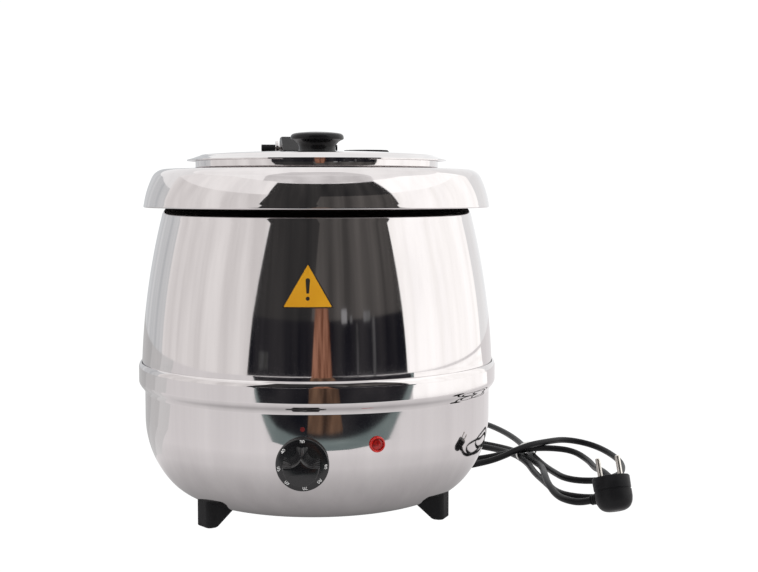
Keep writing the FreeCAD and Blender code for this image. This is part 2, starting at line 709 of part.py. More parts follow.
def top_ring():
    edges = [
        arc(rz(RING_SKIRT_R, RING_SKIRT_Z), rz(160.6, 306.5), rz(155.4, 319.2)),
        arc(rz(155.4, 319.2), rz(151.8, 323.2), rz(143.6, 326.0)),
        line(rz(143.6, 326.0), rz(RING_NECK_R + 1.5, RING_TOP_Z)),
        arc(
            rz(RING_NECK_R + 1.5, RING_TOP_Z), rz(RING_NECK_R + 0.44, RING_TOP_Z + 0.5),
            rz(RING_NECK_R, RING_TOP_Z + 1.5),
        ),
        line(rz(RING_NECK_R, RING_TOP_Z + 1.5), rz(RING_NECK_R, RING_NECK_TOP_Z)),
    ]
    sheet = spun_sheet(edges, SHEET)
    hem = Part.makeTorus(RING_SKIRT_R - 1.1, 1.3, V(0, 0, RING_SKIRT_Z), UP)
    ring = sheet.fuse(hem).removeSplitter()
    holes = [Part.makeCylinder(2.0, 12, V(x, HINGE_Y + 3, 320)) for x in (-18, 18)]
    return ring.cut(Part.makeCompound(holes))


LID_PROFILE = [
    (LID_R, LID_EDGE_Z), (118.0, 336.3), (112.0, 338.3), (104.0, 340.0), (60.0, 342.3), (0.0, LID_TOP_Z),
]


def lid_top_edges(drop):
    """Profile of the lid's top from its rim to the axis, or a parallel one that lies lower."""
    return dome_edge([(r, z - drop) for r, z in LID_PROFILE], 0.22)


def lid_blank():
    low = lid_top_edges(SHEET)
    high = lid_top_edges(0)
    edges = [
        high,
        line(rz(0, LID_TOP_Z), rz(0, LID_TOP_Z - SHEET)),
        low,
        line(rz(LID_R, LID_EDGE_Z - SHEET), rz(LID_R, LID_EDGE_Z)),
    ]
    return spun(Part.Face(Part.Wire(Part.__sortEdges__(edges))))


def below_lid():
    """Everything under the lid's sheet, as a cutting tool."""
    low = lid_top_edges(SHEET)
    edges = [
        low,
        line(rz(0, LID_TOP_Z - SHEET), rz(0, 300)),
        line(rz(0, 300), rz(LID_R, 300)),
        line(rz(LID_R, 300), rz(LID_R, LID_EDGE_Z - SHEET)),
    ]
    return spun(Part.Face(Part.Wire(Part.__sortEdges__(edges))))


def notch_prism(radius, bottom, height):
    """U-shaped prism that runs out over the lid's rim, at the notch."""
    round_end = Part.makeCylinder(radius, height, V(0, -NOTCH_CENTRE_R, bottom))
    straight = box((-radius, -150, bottom), (radius, -NOTCH_CENTRE_R, bottom + height))
    return at_azimuth(round_end.fuse(straight), NOTCH_AZIMUTH)


def lid():
    shape = lid_blank().cut(notch_prism(NOTCH_R, 300, 80))
    holes = [Part.makeCylinder(2.5, 20, V(0, 0, 330))]
    for side in (-1, 1):
        holes.append(Part.makeCylinder(1.7, 20, V(15 * side, 104, 330)))
    return shape.cut(Part.makeCompound(holes))


def notch_trim():
    blank = notch_prism(NOTCH_R + TRIM_LIP, 330, TRIM_TOP_Z - 330).cut(notch_prism(NOTCH_R - TRIM_LIP, 320, 60))
    disc = Part.makeCylinder(LID_R - 0.4, 60, V(0, 0, 300))
    shape = blank.common(disc).cut(below_lid()).cut(lid_blank().cut(notch_prism(NOTCH_R, 300, 80)))
    slope = [V(0, -LID_R - 1, 338.5), V(0, -LID_R - 1, 360), V(0, -LID_R + 20, 360)]
    slope.append(V(0, -LID_R + 18, TRIM_TOP_Z + 0.1))
    wedge = Part.Face(Part.makePolygon(slope + slope[:1])).extrude(V(60, 0, 0))
    wedge.translate(V(-30, 0, 0))
    shape = shape.cut(at_azimuth(wedge, NOTCH_AZIMUTH))
    return max(shape.Solids, key=lambda s: s.Volume)


def lid_knob():
    edges = [
        line(rz(0, LID_TOP_Z), rz(18.3, LID_TOP_Z)),
        arc(rz(18.3, LID_TOP_Z), rz(17.9, 347.2), rz(20.6, 352.2)),
        arc(rz(20.6, 352.2), rz(22.6, 353.9), rz(KNOB_R, 355.0)),
        arc(rz(KNOB_R, 355.0), rz(25.1, 357.6), rz(23.6, 359.6)),
        dome_edge([(23.6, 359.6), (12.5, 361.3), (0, KNOB_TOP_Z)], 0.35),
        line(rz(0, KNOB_TOP_Z), rz(0, LID_TOP_Z)),
    ]
    knob = spun(Part.Face(Part.Wire(edges)))
    return knob.cut(lid_blank()).cut(Part.makeCylinder(2.5, 12, V(0, 0, 340)))


def knob_screw():
    washer = Part.makeCylinder(8.0, 1.2, V(0, 0, LID_TOP_Z - SHEET - 1.4))
    head = Part.makeCylinder(4.6, 3.0, V(0, 0, LID_TOP_Z - SHEET - 4.4))
    shank = Part.makeCylinder(2.5, 12.0, V(0, 0, LID_TOP_Z - 3.4))
    return head.fuse(washer).fuse(shank).removeSplitter()


def hinge_base():
    foot_plate = box((-36, 125.5, 323), (36, 143, 328.5))
    ears = []
    for side in (-1, 1):
        low_x = min(side * 27.2, side * 29.7)
        ear = box((low_x, HINGE_Y - 7.5, 327), (low_x + 2.5, HINGE_Y + 7.5, HINGE_Z))
        tip = Part.makeCylinder(7.5, 2.5, V(low_x, HINGE_Y, HINGE_Z), V(1, 0, 0))
        ears.append(ear.fuse(tip))
    shape = foot_plate.fuse(ears[0]).fuse(ears[1]).removeSplitter()
    shape = shape.cut(ring_space())
    shape = shape.cut(Part.makeCylinder(HINGE_PIN_R + RUNNING, 100, V(-50, HINGE_Y, HINGE_Z), V(1, 0, 0)))
    holes = [Part.makeCylinder(2.0, 12, V(x, HINGE_Y + 3, 320)) for x in (-18, 18)]
    return shape.cut(Part.makeCompound(holes))


def ring_space():
    """Everything under the ring's top, as a cutting tool for what stands on it."""
    edges = [
        arc(rz(155.4, 319.2), rz(151.8, 323.2), rz(143.6, 326.0)),
        line(rz(143.6, 326.0), rz(RING_NECK_R + 1.5, RING_TOP_Z)),
        line(rz(RING_NECK_R + 1.5, RING_TOP_Z), rz(RING_NECK_R + 1.5, 300)),
        line(rz(RING_NECK_R + 1.5, 300), rz(155.4, 300)),
        line(rz(155.4, 300), rz(155.4, 319.2)),
    ]
    return spun(Part.Face(Part.Wire(edges)))


def hinge_screws():
    screws = []
    for x in (-18, 18):
        head = Part.makeCylinder(3.6, 2.2, V(x, HINGE_Y + 3, 328.5))
        shank = Part.makeCylinder(2.0, 7.5, V(x, HINGE_Y + 3, 321.2))
        screws.append(head.fuse(shank))
    return screws


def hinge_pin():
    length = PIN_RIGHT_X - PIN_LEFT_X - 2 * CAP_WALL
    return Part.makeCylinder(HINGE_PIN_R, length, V(PIN_LEFT_X + CAP_WALL, HINGE_Y, HINGE_Z), V(1, 0, 0))


def hinge_caps():
    """Plastic ends pressed on the hinge pin outside the ears."""
    caps = []
    for low_x, high_x in ((PIN_LEFT_X, -EAR_OUTER_X), (EAR_OUTER_X, PIN_RIGHT_X)):
        cap = Part.makeCylinder(CAP_R, high_x - low_x, V(low_x, HINGE_Y, HINGE_Z), V(1, 0, 0))
        caps.append(cap.cut(hinge_pin()))
    return caps


def hinge_block():
    half = HINGE_BLOCK_HALF
    side = Part.Wire([
        line(V(0, 96, 334), V(0, 96, 347)),
        line(V(0, 96, 347), V(0, 118, 361.5)),
        line(V(0, 118, 361.5), V(0, HINGE_Y, 361.5)),
        arc(
            V(0, HINGE_Y, HINGE_Z + 11.5),
            V(0, HINGE_Y + 11.5 * math.sqrt(0.5), HINGE_Z + 11.5 * math.sqrt(0.5)),
            V(0, HINGE_Y + 11.5, HINGE_Z),
        ),
        arc(
            V(0, HINGE_Y + 11.5, HINGE_Z), V(0, HINGE_Y + 8.0, HINGE_Z - 8.26), V(0, HINGE_Y, HINGE_Z - 11.5)
        ),
        line(V(0, HINGE_Y, HINGE_Z - 11.5), V(0, 121, HINGE_Z - 11.5)),
        line(V(0, 121, HINGE_Z - 11.5), V(0, 121, 334)),
        line(V(0, 121, 334), V(0, 96, 334)),
    ])
    block = Part.Face(side).extrude(V(2 * half, 0, 0))
    block.translate(V(-half, 0, 0))
    rims = [
        e for e in block.Edges
        if e.BoundBox.XLength < 0.01 and e.BoundBox.ZMax > 346.9 and e.BoundBox.ZMin > 345
    ]
    block = block.makeFillet(1.2, rims)
    bore = Part.makeCylinder(HINGE_PIN_R + RUNNING, 100, V(-50, HINGE_Y, HINGE_Z), V(1, 0, 0))
    block = block.cut(bore).cut(below_lid()).cut(lid_blank())
    holes = [Part.makeCylinder(1.7, 14, V(15 * s, 104, 333)) for s in (-1, 1)]
    return block.cut(Part.makeCompound(holes))


def lid_screws():
    screws = []
    for side in (-1, 1):
        head = Part.makeCylinder(3.2, 4.0, V(15 * side, 104, 335.4)).common(below_lid())
        shank = Part.makeCylinder(1.7, 9.5, V(15 * side, 104, 337.5))
        screws.append(head.fuse(shank))
    return screws


NODES = {
    "lower_shell": lower_shell,
    "upper_shell": upper_shell,
    "base_plate": base_plate,
    "base_screws": base_screws,
    "foot_screws": foot_screws,
    "water_well": water_well,
    "heater_element": heater_element,
    "clamp_plate": clamp_plate,
    "clamp_stud": clamp_stud,
    "clamp_nut": clamp_nut,
    "thermostat_bracket": thermostat_bracket,
    "thermostat_body": thermostat_body,
    "thermostat_screws": thermostat_screws,
    "capillary_bulb": capillary,
    "dial_shaft": dial_shaft,
    "dial": dial,
    "index_mark": index_mark,
    "lamp_lens": lamp_lens,
    "lamp_body": lamp_body,
    "warning_label": warning_label,
    "cable_gland": cable_gland,
    "gland_nut": gland_nut,
    "inner_cable": inner_cable,
    "terminal_block": terminal_block,
    "terminal_screws": terminal_screws,
    "earth_stud": earth_stud,
    "internal_wires": internal_wires,
    "cord_lead": cord_lead,
    "cord_hank": cord_hank,
    "cord_tie": cord_tie,
    "plug_body": plug_body,
    "plug_pins": plug_pins,
    "plug_earth_strips": plug_earth_strips,
    "soup_pot": soup_pot,
    "top_ring": top_ring,
    "lid": lid,
    "notch_trim": notch_trim,
    "lid_knob": lid_knob,
    "knob_screw": knob_screw,
    "hinge_base": hinge_base,
    "hinge_screws": hinge_screws,
    "hinge_pin": hinge_pin,
    "hinge_caps": hinge_caps,
    "hinge_block": hinge_block,
    "lid_screws": lid_screws,
}


def export(name, made):
    solids = made if isinstance(made, list) else [made]
    parts = []
    for piece in solids:
        parts += piece.Solids
    shape = parts[0] if len(parts) == 1 else Part.makeCompound(parts)
    if not shape.isValid():
        print("not valid:", name)
    shape.exportStep("parts/" + name + ".step")
    b = shape.BoundBox
    print(f"{name:20s} solids {len(parts)} volume {shape.Volume:10.0f}"
          f"  x {b.XMin:.1f} {b.XMax:.1f}  y {b.YMin:.1f} {b.YMax:.1f}  z {b.ZMin:.1f} {b.ZMax:.1f}")


os.makedirs("parts", exist_ok=True)
for name, make in NODES.items():
    export(name, make())
for number, azimuth in enumerate(FOOT_AZIMUTHS, 1):
    export(f"foot_{number}", foot(azimuth))
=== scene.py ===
import json
import math

import bmesh
import bpy
from mathutils import Matrix, Vector


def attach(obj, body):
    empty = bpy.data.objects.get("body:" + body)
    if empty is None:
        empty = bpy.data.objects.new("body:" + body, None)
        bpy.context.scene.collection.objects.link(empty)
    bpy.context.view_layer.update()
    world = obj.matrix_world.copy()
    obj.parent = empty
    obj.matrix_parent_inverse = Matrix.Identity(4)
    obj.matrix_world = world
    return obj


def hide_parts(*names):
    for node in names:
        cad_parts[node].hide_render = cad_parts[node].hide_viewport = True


# Soup kettle. Vertices are given in millimetres and scaled to metres when a piece is made. The
# origin is on the table on the kettle's axis, the control side faces -Y, and azimuths are
# degrees counted from the front (-Y) towards the right (+X).

MM = 0.001
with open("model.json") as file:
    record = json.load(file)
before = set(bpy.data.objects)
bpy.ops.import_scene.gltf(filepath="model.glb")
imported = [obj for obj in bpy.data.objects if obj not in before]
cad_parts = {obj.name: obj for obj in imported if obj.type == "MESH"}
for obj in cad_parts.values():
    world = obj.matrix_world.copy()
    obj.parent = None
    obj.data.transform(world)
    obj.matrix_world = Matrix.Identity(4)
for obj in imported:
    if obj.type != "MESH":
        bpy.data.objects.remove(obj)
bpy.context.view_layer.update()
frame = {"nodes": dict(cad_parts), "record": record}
nodes = frame["nodes"]
scene = bpy.context.scene
scene.view_settings.view_transform = "Standard"

# ---- camera, 1.3 m from the kettle's axis at the height of the ring ----
CAMERA_PLACE = (-0.1359, -1.2929, 0.3075)
CAMERA_TILT = 85.9         # degrees up from straight down
CAMERA_TURN = -8.6         # degrees about the vertical, to the right
CAMERA_LENS = 64.35
SENSOR_WIDTH = 36.0

camera_data = bpy.data.cameras.new("camera")
camera_data.sensor_width = SENSOR_WIDTH
camera_data.lens = CAMERA_LENS
camera = bpy.data.objects.new("camera", camera_data)
camera.location = CAMERA_PLACE
camera.rotation_euler = (math.radians(CAMERA_TILT), 0.0, math.radians(CAMERA_TURN))
scene.collection.objects.link(camera)
scene.camera = camera

# ---- dimensions shared with the CAD model, in millimetres ----
SHEET = 1.0                # stainless sheet thickness
BOWL_R = 164.4
BOWL_TOP_Z = 93.0          # where the bowl's curve ends
BOWL_SIDE_R = 90.497       # radius of the bowl's lower side in profile
HEEL_R = 57.0              # radius of the arc between the flat base and the side
HEEL_TURN = -38.82         # direction, in degrees, where the heel meets the side
BARREL_FOOT = (166.8, 147.5)
BARREL_WAIST = (160.9, 212)
BARREL_SHOULDER = (147.4, 281)
DIAL_AZIMUTH, DIAL_Z, DIAL_BACK, DIAL_FRONT = -10.6, 75.0, 165.4, 183.5
LAMP_AZIMUTH, LAMP_Z, LAMP_BACK = 11.8, 90.0, 161.0
LABEL_AZIMUTH, LABEL_LOW_Z, LABEL_TALL, LABEL_HALF = -9.0, 207.0, 39.0, 22.5
NOTCH_AZIMUTH, NOTCH_R, NOTCH_CENTRE_R = 145.0, 20.5, 104.0
GLAND_Z = 62.0
CORD_R = 3.5
CORD_EXIT_Y = 183.5


# ---- materials ----
class Nodes:
    """Small helper that builds a node material around a Principled shader."""

    def __init__(self, name):
        self.material = bpy.data.materials.new(name)
        self.material.use_nodes = True
        self.tree = self.material.node_tree
        self.shader = self.tree.nodes["Principled BSDF"]
        self.coords = self.tree.nodes.new("ShaderNodeTexCoord").outputs["Object"]

    def set(self, **values):
        for key, value in values.items():
            self.shader.inputs[key.replace("_", " ")].default_value = value
        return self

    def link(self, output, name):
        self.tree.links.new(output, self.shader.inputs[name])

    def stretched(self, scale):
        mapping = self.tree.nodes.new("ShaderNodeMapping")
        mapping.inputs["Scale"].default_value = scale
        self.tree.links.new(self.coords, mapping.inputs["Vector"])
        return mapping.outputs["Vector"]

    def noise(self, scale, stretch=(1, 1, 1), detail=4.0, rough=0.55):
        node = self.tree.nodes.new("ShaderNodeTexNoise")
        node.inputs["Scale"].default_value = scale
        node.inputs["Detail"].default_value = detail
        node.inputs["Roughness"].default_value = rough
        self.tree.links.new(self.stretched(stretch), node.inputs["Vector"])
        return node.outputs["Fac"]

    def ramp(self, value, low, high, start=0.3, end=0.7):
        """Value mapped from low to high; both numbers or both colours."""
        node = self.tree.nodes.new("ShaderNodeValToRGB")
        for element, place, colour in zip(node.color_ramp.elements, (start, end), (low, high)):
            element.position = place
            element.color = (*colour, 1) if isinstance(colour, tuple) else (colour, colour, colour, 1)
        self.tree.links.new(value, node.inputs["Fac"])
        return node.outputs["Color"]

    def bump(self, height, strength, distance):
        node = self.tree.nodes.new("ShaderNodeBump")
        node.inputs["Strength"].default_value = strength
        node.inputs["Distance"].default_value = distance
        self.tree.links.new(height, node.inputs["Height"])
        return node.outputs["Normal"]


def metal(name, colour, dark, rough, streak=(1, 1, 1), streak_scale=60.0, bump=0.02, aniso=0.0):
    m = Nodes(name).set(Metallic=1.0, Anisotropic=aniso)
    streaks = m.noise(streak_scale, streak, 5.0)
    m.link(m.ramp(streaks, dark, colour), "Base Color")
    m.link(m.ramp(m.noise(9.0), rough[0], rough[1]), "Roughness")
    m.link(m.bump(streaks, bump, 0.0004), "Normal")
    return m.material


def plastic(name, colour, light, rough, grain=900.0, bump=0.15, shine=0.5):
    m = Nodes(name).set(Specular_IOR_Level=shine)
    m.link(m.ramp(m.noise(35.0), colour, light), "Base Color")
    m.link(m.ramp(m.noise(18.0), rough[0], rough[1]), "Roughness")
    m.link(m.bump(m.noise(grain, detail=2.0), bump, 0.0002), "Normal")
    return m.material


UP_STREAKS = (1, 1, 0.04)
MATERIALS = {
    "polished_steel": metal(
        "polished_steel", (0.715, 0.690, 0.690), (0.650, 0.625, 0.627), (0.03, 0.075),
        UP_STREAKS, 55.0, 0.012),
    # near-black steel for the sheets of painted shade in the gap under the ring
    "painted_shade_steel": metal("painted_shade_steel", (0.075, 0.065, 0.060), (0.045, 0.040, 0.038), (0.45, 0.6), bump=0.05),
    "plain_steel": metal(
        "plain_steel", (0.72, 0.71, 0.70), (0.58, 0.57, 0.56), (0.18, 0.30), UP_STREAKS, 160.0, 0.08, 0.4),
    "screw_steel": metal("screw_steel", (0.78, 0.77, 0.75), (0.62, 0.61, 0.60), (0.12, 0.26), bump=0.03),
    "heater_steel": metal("heater_steel", (0.36, 0.33, 0.30), (0.20, 0.18, 0.17), (0.32, 0.5), bump=0.1),
    "copper_tube": metal("copper_tube", (0.80, 0.52, 0.34), (0.66, 0.38, 0.24), (0.18, 0.34), bump=0.05),
    "tie_wire": metal("tie_wire", (0.74, 0.74, 0.72), (0.60, 0.60, 0.58), (0.2, 0.32), bump=0.05),
    "pin_metal": metal("pin_metal", (0.82, 0.80, 0.76), (0.70, 0.67, 0.62), (0.14, 0.26), bump=0.03),
    "black_plastic": plastic(
        "black_plastic", (0.010, 0.010, 0.011), (0.022, 0.022, 0.023), (0.38, 0.52), shine=0.08),
    "knob_black": plastic(
        "knob_black", (0.006, 0.006, 0.007), (0.010, 0.010, 0.011), (0.22, 0.32), shine=0.22),
    "dial_black": plastic(
        "dial_black", (0.004, 0.004, 0.005), (0.008, 0.008, 0.009), (0.16, 0.26), shine=0.6),
    "plug_black": plastic(
        "plug_black", (0.006, 0.006, 0.007), (0.012, 0.012, 0.013), (0.34, 0.46), shine=0.12),
    "cord_black": plastic(
        "cord_black", (0.005, 0.005, 0.006), (0.010, 0.010, 0.011), (0.32, 0.44), 400.0, shine=0.12),
    "grey_plastic": plastic("grey_plastic", (0.55, 0.55, 0.53), (0.64, 0.64, 0.61), (0.4, 0.5)),
    "label_yellow": plastic(
        "label_yellow", (0.66, 0.30, 0.005), (0.71, 0.34, 0.008), (0.32, 0.42), bump=0.05),
    "label_black": plastic(
        "label_black", (0.014, 0.012, 0.010), (0.03, 0.025, 0.02), (0.34, 0.44), bump=0.05),
    "print_white": plastic("print_white", (0.78, 0.78, 0.77), (0.88, 0.88, 0.87), (0.4, 0.5), bump=0.05),
    "red_paint": plastic("red_paint", (0.11, 0.003, 0.004), (0.17, 0.005, 0.006), (0.25, 0.4)),
}


def lamp_material(name, dark, light):
    m = Nodes(name).set(Coat_Weight=0.35, Coat_Roughness=0.05, Specular_IOR_Level=0.3)
    facets = m.noise(420.0, detail=1.0)
    m.link(m.ramp(facets, dark, light), "Base Color")
    m.link(m.ramp(m.noise(60.0), 0.12, 0.24), "Roughness")
    m.link(m.bump(facets, 0.2, 0.0004), "Normal")
    return m.material


MATERIALS["lamp_red"] = lamp_material("lamp_red", (0.42, 0.010, 0.008), (0.60, 0.020, 0.014))
MATERIALS["lamp_deep"] = lamp_material("lamp_deep", (0.16, 0.004, 0.004), (0.40, 0.010, 0.008))

for row in frame["record"]["subparts"]:
    node = nodes[row["node"]]
    node.data.materials.clear()
    node.data.materials.append(MATERIALS[row["material_slot"]])


# ---- mesh helpers ----
def piece(name, verts, faces, slot, body="base_unit", replaces=(), sharp=32.0, at=None, material=None):
    """A piece from vertices in millimetres, smooth apart from its sharp edges."""
    mesh = bpy.data.meshes.new(name)
    mesh.from_pydata([tuple(v) for v in verts], [], faces)
    bm = bmesh.new()
    bm.from_mesh(mesh)
    bmesh.ops.remove_doubles(bm, verts=bm.verts, dist=1e-4)
    bmesh.ops.recalc_face_normals(bm, faces=bm.faces)
    bm.transform(Matrix.Scale(MM, 4) @ (at or Matrix.Identity(4)))
    for edge in bm.edges:
        edge.smooth = len(edge.link_faces) == 2 and edge.calc_face_angle() < math.radians(sharp)
    for face in bm.faces:
        face.smooth = True
    bm.to_mesh(mesh)
    bm.free()
    obj = bpy.data.objects.new(name, mesh)
    scene.collection.objects.link(obj)
    return dress(obj, slot, body, replaces, material)


def dress(obj, slot, body="base_unit", replaces=(), material=None):
    obj.data.materials.clear()
    obj.data.materials.append(MATERIALS[material or slot])
    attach(obj, body)
    if replaces:
        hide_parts(*replaces)
    return obj


def spin(profile, segments=96, loop=True):
    """Vertices and faces of a profile, (radius, height), turned about Z. loop closes the profile."""
    verts, rings = [], []
    for r, z in profile:
        first = len(verts)
        if r < 1e-6:
            verts.append((0.0, 0.0, z))
            rings.append([first] * segments)
            continue
        for i in range(segments):
            a = 2 * math.pi * i / segments
            verts.append((r * math.cos(a), r * math.sin(a), z))
        rings.append(list(range(first, first + segments)))
    faces = []
    pairs = list(zip(rings, rings[1:])) + ([(rings[-1], rings[0])] if loop else [])
    for a, b in pairs:
        for i in range(segments):
            j = (i + 1) % segments
            corner = list(dict.fromkeys([a[i], a[j], b[j], b[i]]))
            if len(corner) > 2:
                faces.append(corner)
    return verts, faces


def arc3(a, m, b, count=12):
    """Points of the circular arc through three profile points, without its first point."""
    (ax, ay), (mx, my), (bx, by) = a, m, b
    d = 2 * (ax * (my - by) + mx * (by - ay) + bx * (ay - my))
    sa, sm, sb = ax * ax + ay * ay, mx * mx + my * my, bx * bx + by * by
    cx = (sa * (my - by) + sm * (by - ay) + sb * (ay - my)) / d
    cy = (sa * (bx - mx) + sm * (ax - bx) + sb * (mx - ax)) / d
    radius = math.hypot(ax - cx, ay - cy)
    start, middle, end = (math.atan2(y - cy, x - cx) for x, y in (a, m, b))
    span = (end - start) % (2 * math.pi)
    if (middle - start) % (2 * math.pi) > span:
        span -= 2 * math.pi
    angles = [start + span * (i + 1) / count for i in range(count)]
    return [(cx + radius * math.cos(t), cy + radius * math.sin(t)) for t in angles]


def circle_points(cx, cy, radius, start, end, count):
    """Points of an arc about a centre, angles in degrees, both ends included."""
    angles = [math.radians(start + (end - start) * i / count) for i in range(count + 1)]
    return [(cx + radius * math.cos(t), cy + radius * math.sin(t)) for t in angles]


def smooth_run(points, count=8):
    """Rounded run through profile points (Catmull-Rom), both ends included."""
    p = [points[0], *points, points[-1]]
    out = [points[0]]
    for i in range(1, len(p) - 2):
        for k in range(1, count + 1):
            t = k / count
            out.append(tuple(
                0.5 * (2 * p[i][c] + (p[i + 1][c] - p[i - 1][c]) * t
                       + (2 * p[i - 1][c] - 5 * p[i][c] + 4 * p[i + 1][c] - p[i + 2][c]) * t * t
                       + (3 * p[i][c] - p[i - 1][c] - 3 * p[i + 1][c] + p[i + 2][c]) * t ** 3)
                for c in (0, 1)))
    return out


def offset(points, distance):
    """Profile moved sideways, to the left of its direction."""
    out = []
    for i, (x, y) in enumerate(points):
        x0, y0 = points[max(i - 1, 0)]
        x1, y1 = points[min(i + 1, len(points) - 1)]
        dx, dy = x1 - x0, y1 - y0
        size = math.hypot(dx, dy)
        out.append((x - dy / size * distance, y + dx / size * distance))
    return out


def sheet(points, thickness):
    """Closed profile of sheet metal: the points and their offset to the left."""
    return points + offset(points, thickness)[::-1]


def ring_about(azimuth, height=0.0):
    """Placement of a piece made round +Z so that it points out to the front at an azimuth and height."""
    return (Matrix.Rotation(math.radians(azimuth), 4, "Z") @ Matrix.Translation((0, 0, height))
            @ Matrix.Rotation(math.radians(90), 4, "X"))


# ---- free cord: one NURBS spline, in millimetres, from the strain relief to the plug ----
CORD_POINTS = [
    (0, CORD_EXIT_Y, GLAND_Z), (0, 206, GLAND_Z), (1, 230, 55), (4, 252, 41), (10, 273, 24),
    (20, 294, 10), (36, 314, 3.6), (60, 330, 3.5), (96, 332, 3.5), (134, 320, 3.5), (172, 300, 3.5),
    (207, 274, 3.5), (234, 240, 3.5), (247, 200, 4.8), (249, 150, 4.5), (244, 102, 3.5),
    (243, 64, 3.5), (242, 36, 3.5), (241.5, 11, 3.5), (248, -8, 3.5), (264, -20.5, 3.5),
    (284, -20.5, 3.8), (300.5, -8.5, 5), (307, 11, 7.2), (306.5, 36, 10.2), (307, 66, 11.6),
    (314, 112, 4.5), (321, 156, 3.8), (312, 188, 9.5), (285, 197, 11.6), (254, 188, 12.6),
    (222, 178, 8), (188, 176, 4), (152, 192, 3.5), (116, 200, 3.5), (90, 178, 3.5), (96, 146, 3.5),
    (126, 134, 3.5), (158, 140, 3.5), (186, 152, 3.5), (218, 160, 8), (252, 174, 19.2),
    (288, 200, 18.6), (311, 221, 16), (334, 222, 12), (350, 206, 8), (357, 170, 4), (350, 124, 3.5),
    (334, 84, 3.5), (318, 65, 3.5), (299, 54, 3.5), (280, 57, 3.5), (268, 72, 3.5),
    (265.5, 98, 3.5), (264, 135, 3.5), (265, 185, 4.8), (270, 235, 3.5), (273, 290, 3.5),
    (271, 350, 3.5), (261, 412, 3.5), (236, 450, 3.5), (198, 458, 3.5), (168, 432, 3.5),
    (160, 388, 3.5), (172, 340, 3.5), (198, 306, 3.5), (227, 275, 3.5), (249, 238, 3.5),
    (256, 195, 4.8), (257, 145, 5.5), (251, 98, 11), (243, 60, 11.6), (237, 26, 9), (237, -8, 3.5),
    (243, -30, 3.5), (252, -41.5, 4.2), (259.5, -51.6, 8.6),
]


def cord():
    """The mains cord as one smooth curve with a round section."""
    curve = bpy.data.curves.new("mains_cord", "CURVE")
    curve.dimensions = "3D"
    curve.resolution_u = 8
    curve.bevel_depth = CORD_R * MM
    curve.bevel_resolution = 5
    spline = curve.splines.new("NURBS")
    spline.points.add(len(CORD_POINTS) - 1)
    for point, place in zip(spline.points, CORD_POINTS):
        point.co = (*(c * MM for c in place), 1.0)
    spline.order_u = 3
    spline.use_endpoint_u = True
    spline.use_smooth = True
    obj = bpy.data.objects.new("mains_cord", curve)
    scene.collection.objects.link(obj)
    return dress(obj, "cord_black", replaces=("cord_lead", "cord_hank"))


PLUG_CENTRE = Vector((273.8, -69.0, 22.8))
PLUG_PINS_WAY = Vector((-0.0629, 0.3585, 0.93)).normalized()
PLUG_ROW_WAY = Vector((-0.8935, 0.3955, -0.2))
OUTLET_DROP = 6.0          # how far behind the plug's centre the cord leaves it
OUTLET_TURN = -29.0        # direction of the cord outlet, in degrees from the row of pins


def plug_place():
    """Placement of the plug's pieces, made with their pins along +Z and side by side along X."""
    across = PLUG_PINS_WAY.cross(PLUG_ROW_WAY).normalized()
    row = across.cross(PLUG_PINS_WAY)
    turn = Matrix((row, across, PLUG_PINS_WAY)).transposed().to_4x4()
    return Matrix.Translation(PLUG_CENTRE) @ turn


def plug():
    """Moulded plug body with a stepped back, and its ribbed cord outlet."""
    back = smooth_run([(0, -21), (8, -20.9), (13.4, -18.4), (16.6, -13.6), (17.8, -8)], 5)
    groove = [(17.8, -2), (17.2, -1.5), (17.2, -0.7), (17.8, -0.2)]
    profile = [*back, *groove, (18, 10.6), (17.2, 11.8), (16.4, 12), (0, 12)]
    body = piece("plug_shell", *spin(profile, 72, loop=False), "plug_black", replaces=("plug_body",),
                 at=plug_place(), sharp=38)
    ribs = [(4.9, 26), (4.9, 25)]
    for i in range(5):
        z = 24.4 - 2.6 * i
        r = 5.0 + 0.32 * i
        ribs += [(r - 0.9, z), (r - 0.9, z - 1.0), (r, z - 1.2), (r + 0.1, z - 2.4)]
    profile = [(3.5, 26), *ribs, (7.4, 10), (7.6, 6), (0, 6)]
    turned = Matrix.Rotation(math.radians(OUTLET_TURN), 4, "Z") @ Matrix.Rotation(math.radians(90), 4, "Y")
    outward = Matrix.Translation((0, 0, -OUTLET_DROP)) @ turned
    outlet = piece("plug_outlet", *spin([(0, 26), *profile], 40, loop=False), "plug_black",
                   at=plug_place() @ outward, sharp=40)
    return [body, outlet]


def cord_tie():
    """Bare wire tie: two turns and a bit round the strands where they cross."""
    turns = 2.4
    centre_x, centre_y = 256, 182
    half, height, lean = 18.5, 22.0, math.radians(38)
    points = []
    for i in range(58):
        t = 2 * math.pi * turns * i / 57
        x = half * math.cos(t)
        z = height / 2 + (height / 2 - 0.9) * math.sin(t)
        y = 1.6 * (i / 57 - 0.5)
        points.append((centre_x + x * math.cos(lean) - y * math.sin(lean),
                       centre_y + x * math.sin(lean) + y * math.cos(lean), z))
    curve = bpy.data.curves.new("wire_tie", "CURVE")
    curve.dimensions = "3D"
    curve.bevel_depth = 0.75 * MM
    curve.bevel_resolution = 3
    spline = curve.splines.new("POLY")
    spline.points.add(len(points) - 1)
    for point, place in zip(spline.points, points):
        point.co = (*(c * MM for c in place), 1.0)
    obj = bpy.data.objects.new("wire_tie", curve)
    scene.collection.objects.link(obj)
    return dress(obj, "tie_wire", replaces=("cord_tie",))


mains_cord = cord()
plug_pieces = plug()
cord_tie()


# ---- steel shells ----
ROUND = 256                # segments of the large polished pieces


def barrel_run():
    """Profile of the upper shell, from its foot to its shoulder."""
    return [BARREL_FOOT, *arc3(BARREL_FOOT, BARREL_WAIST, BARREL_SHOULDER, 48)]


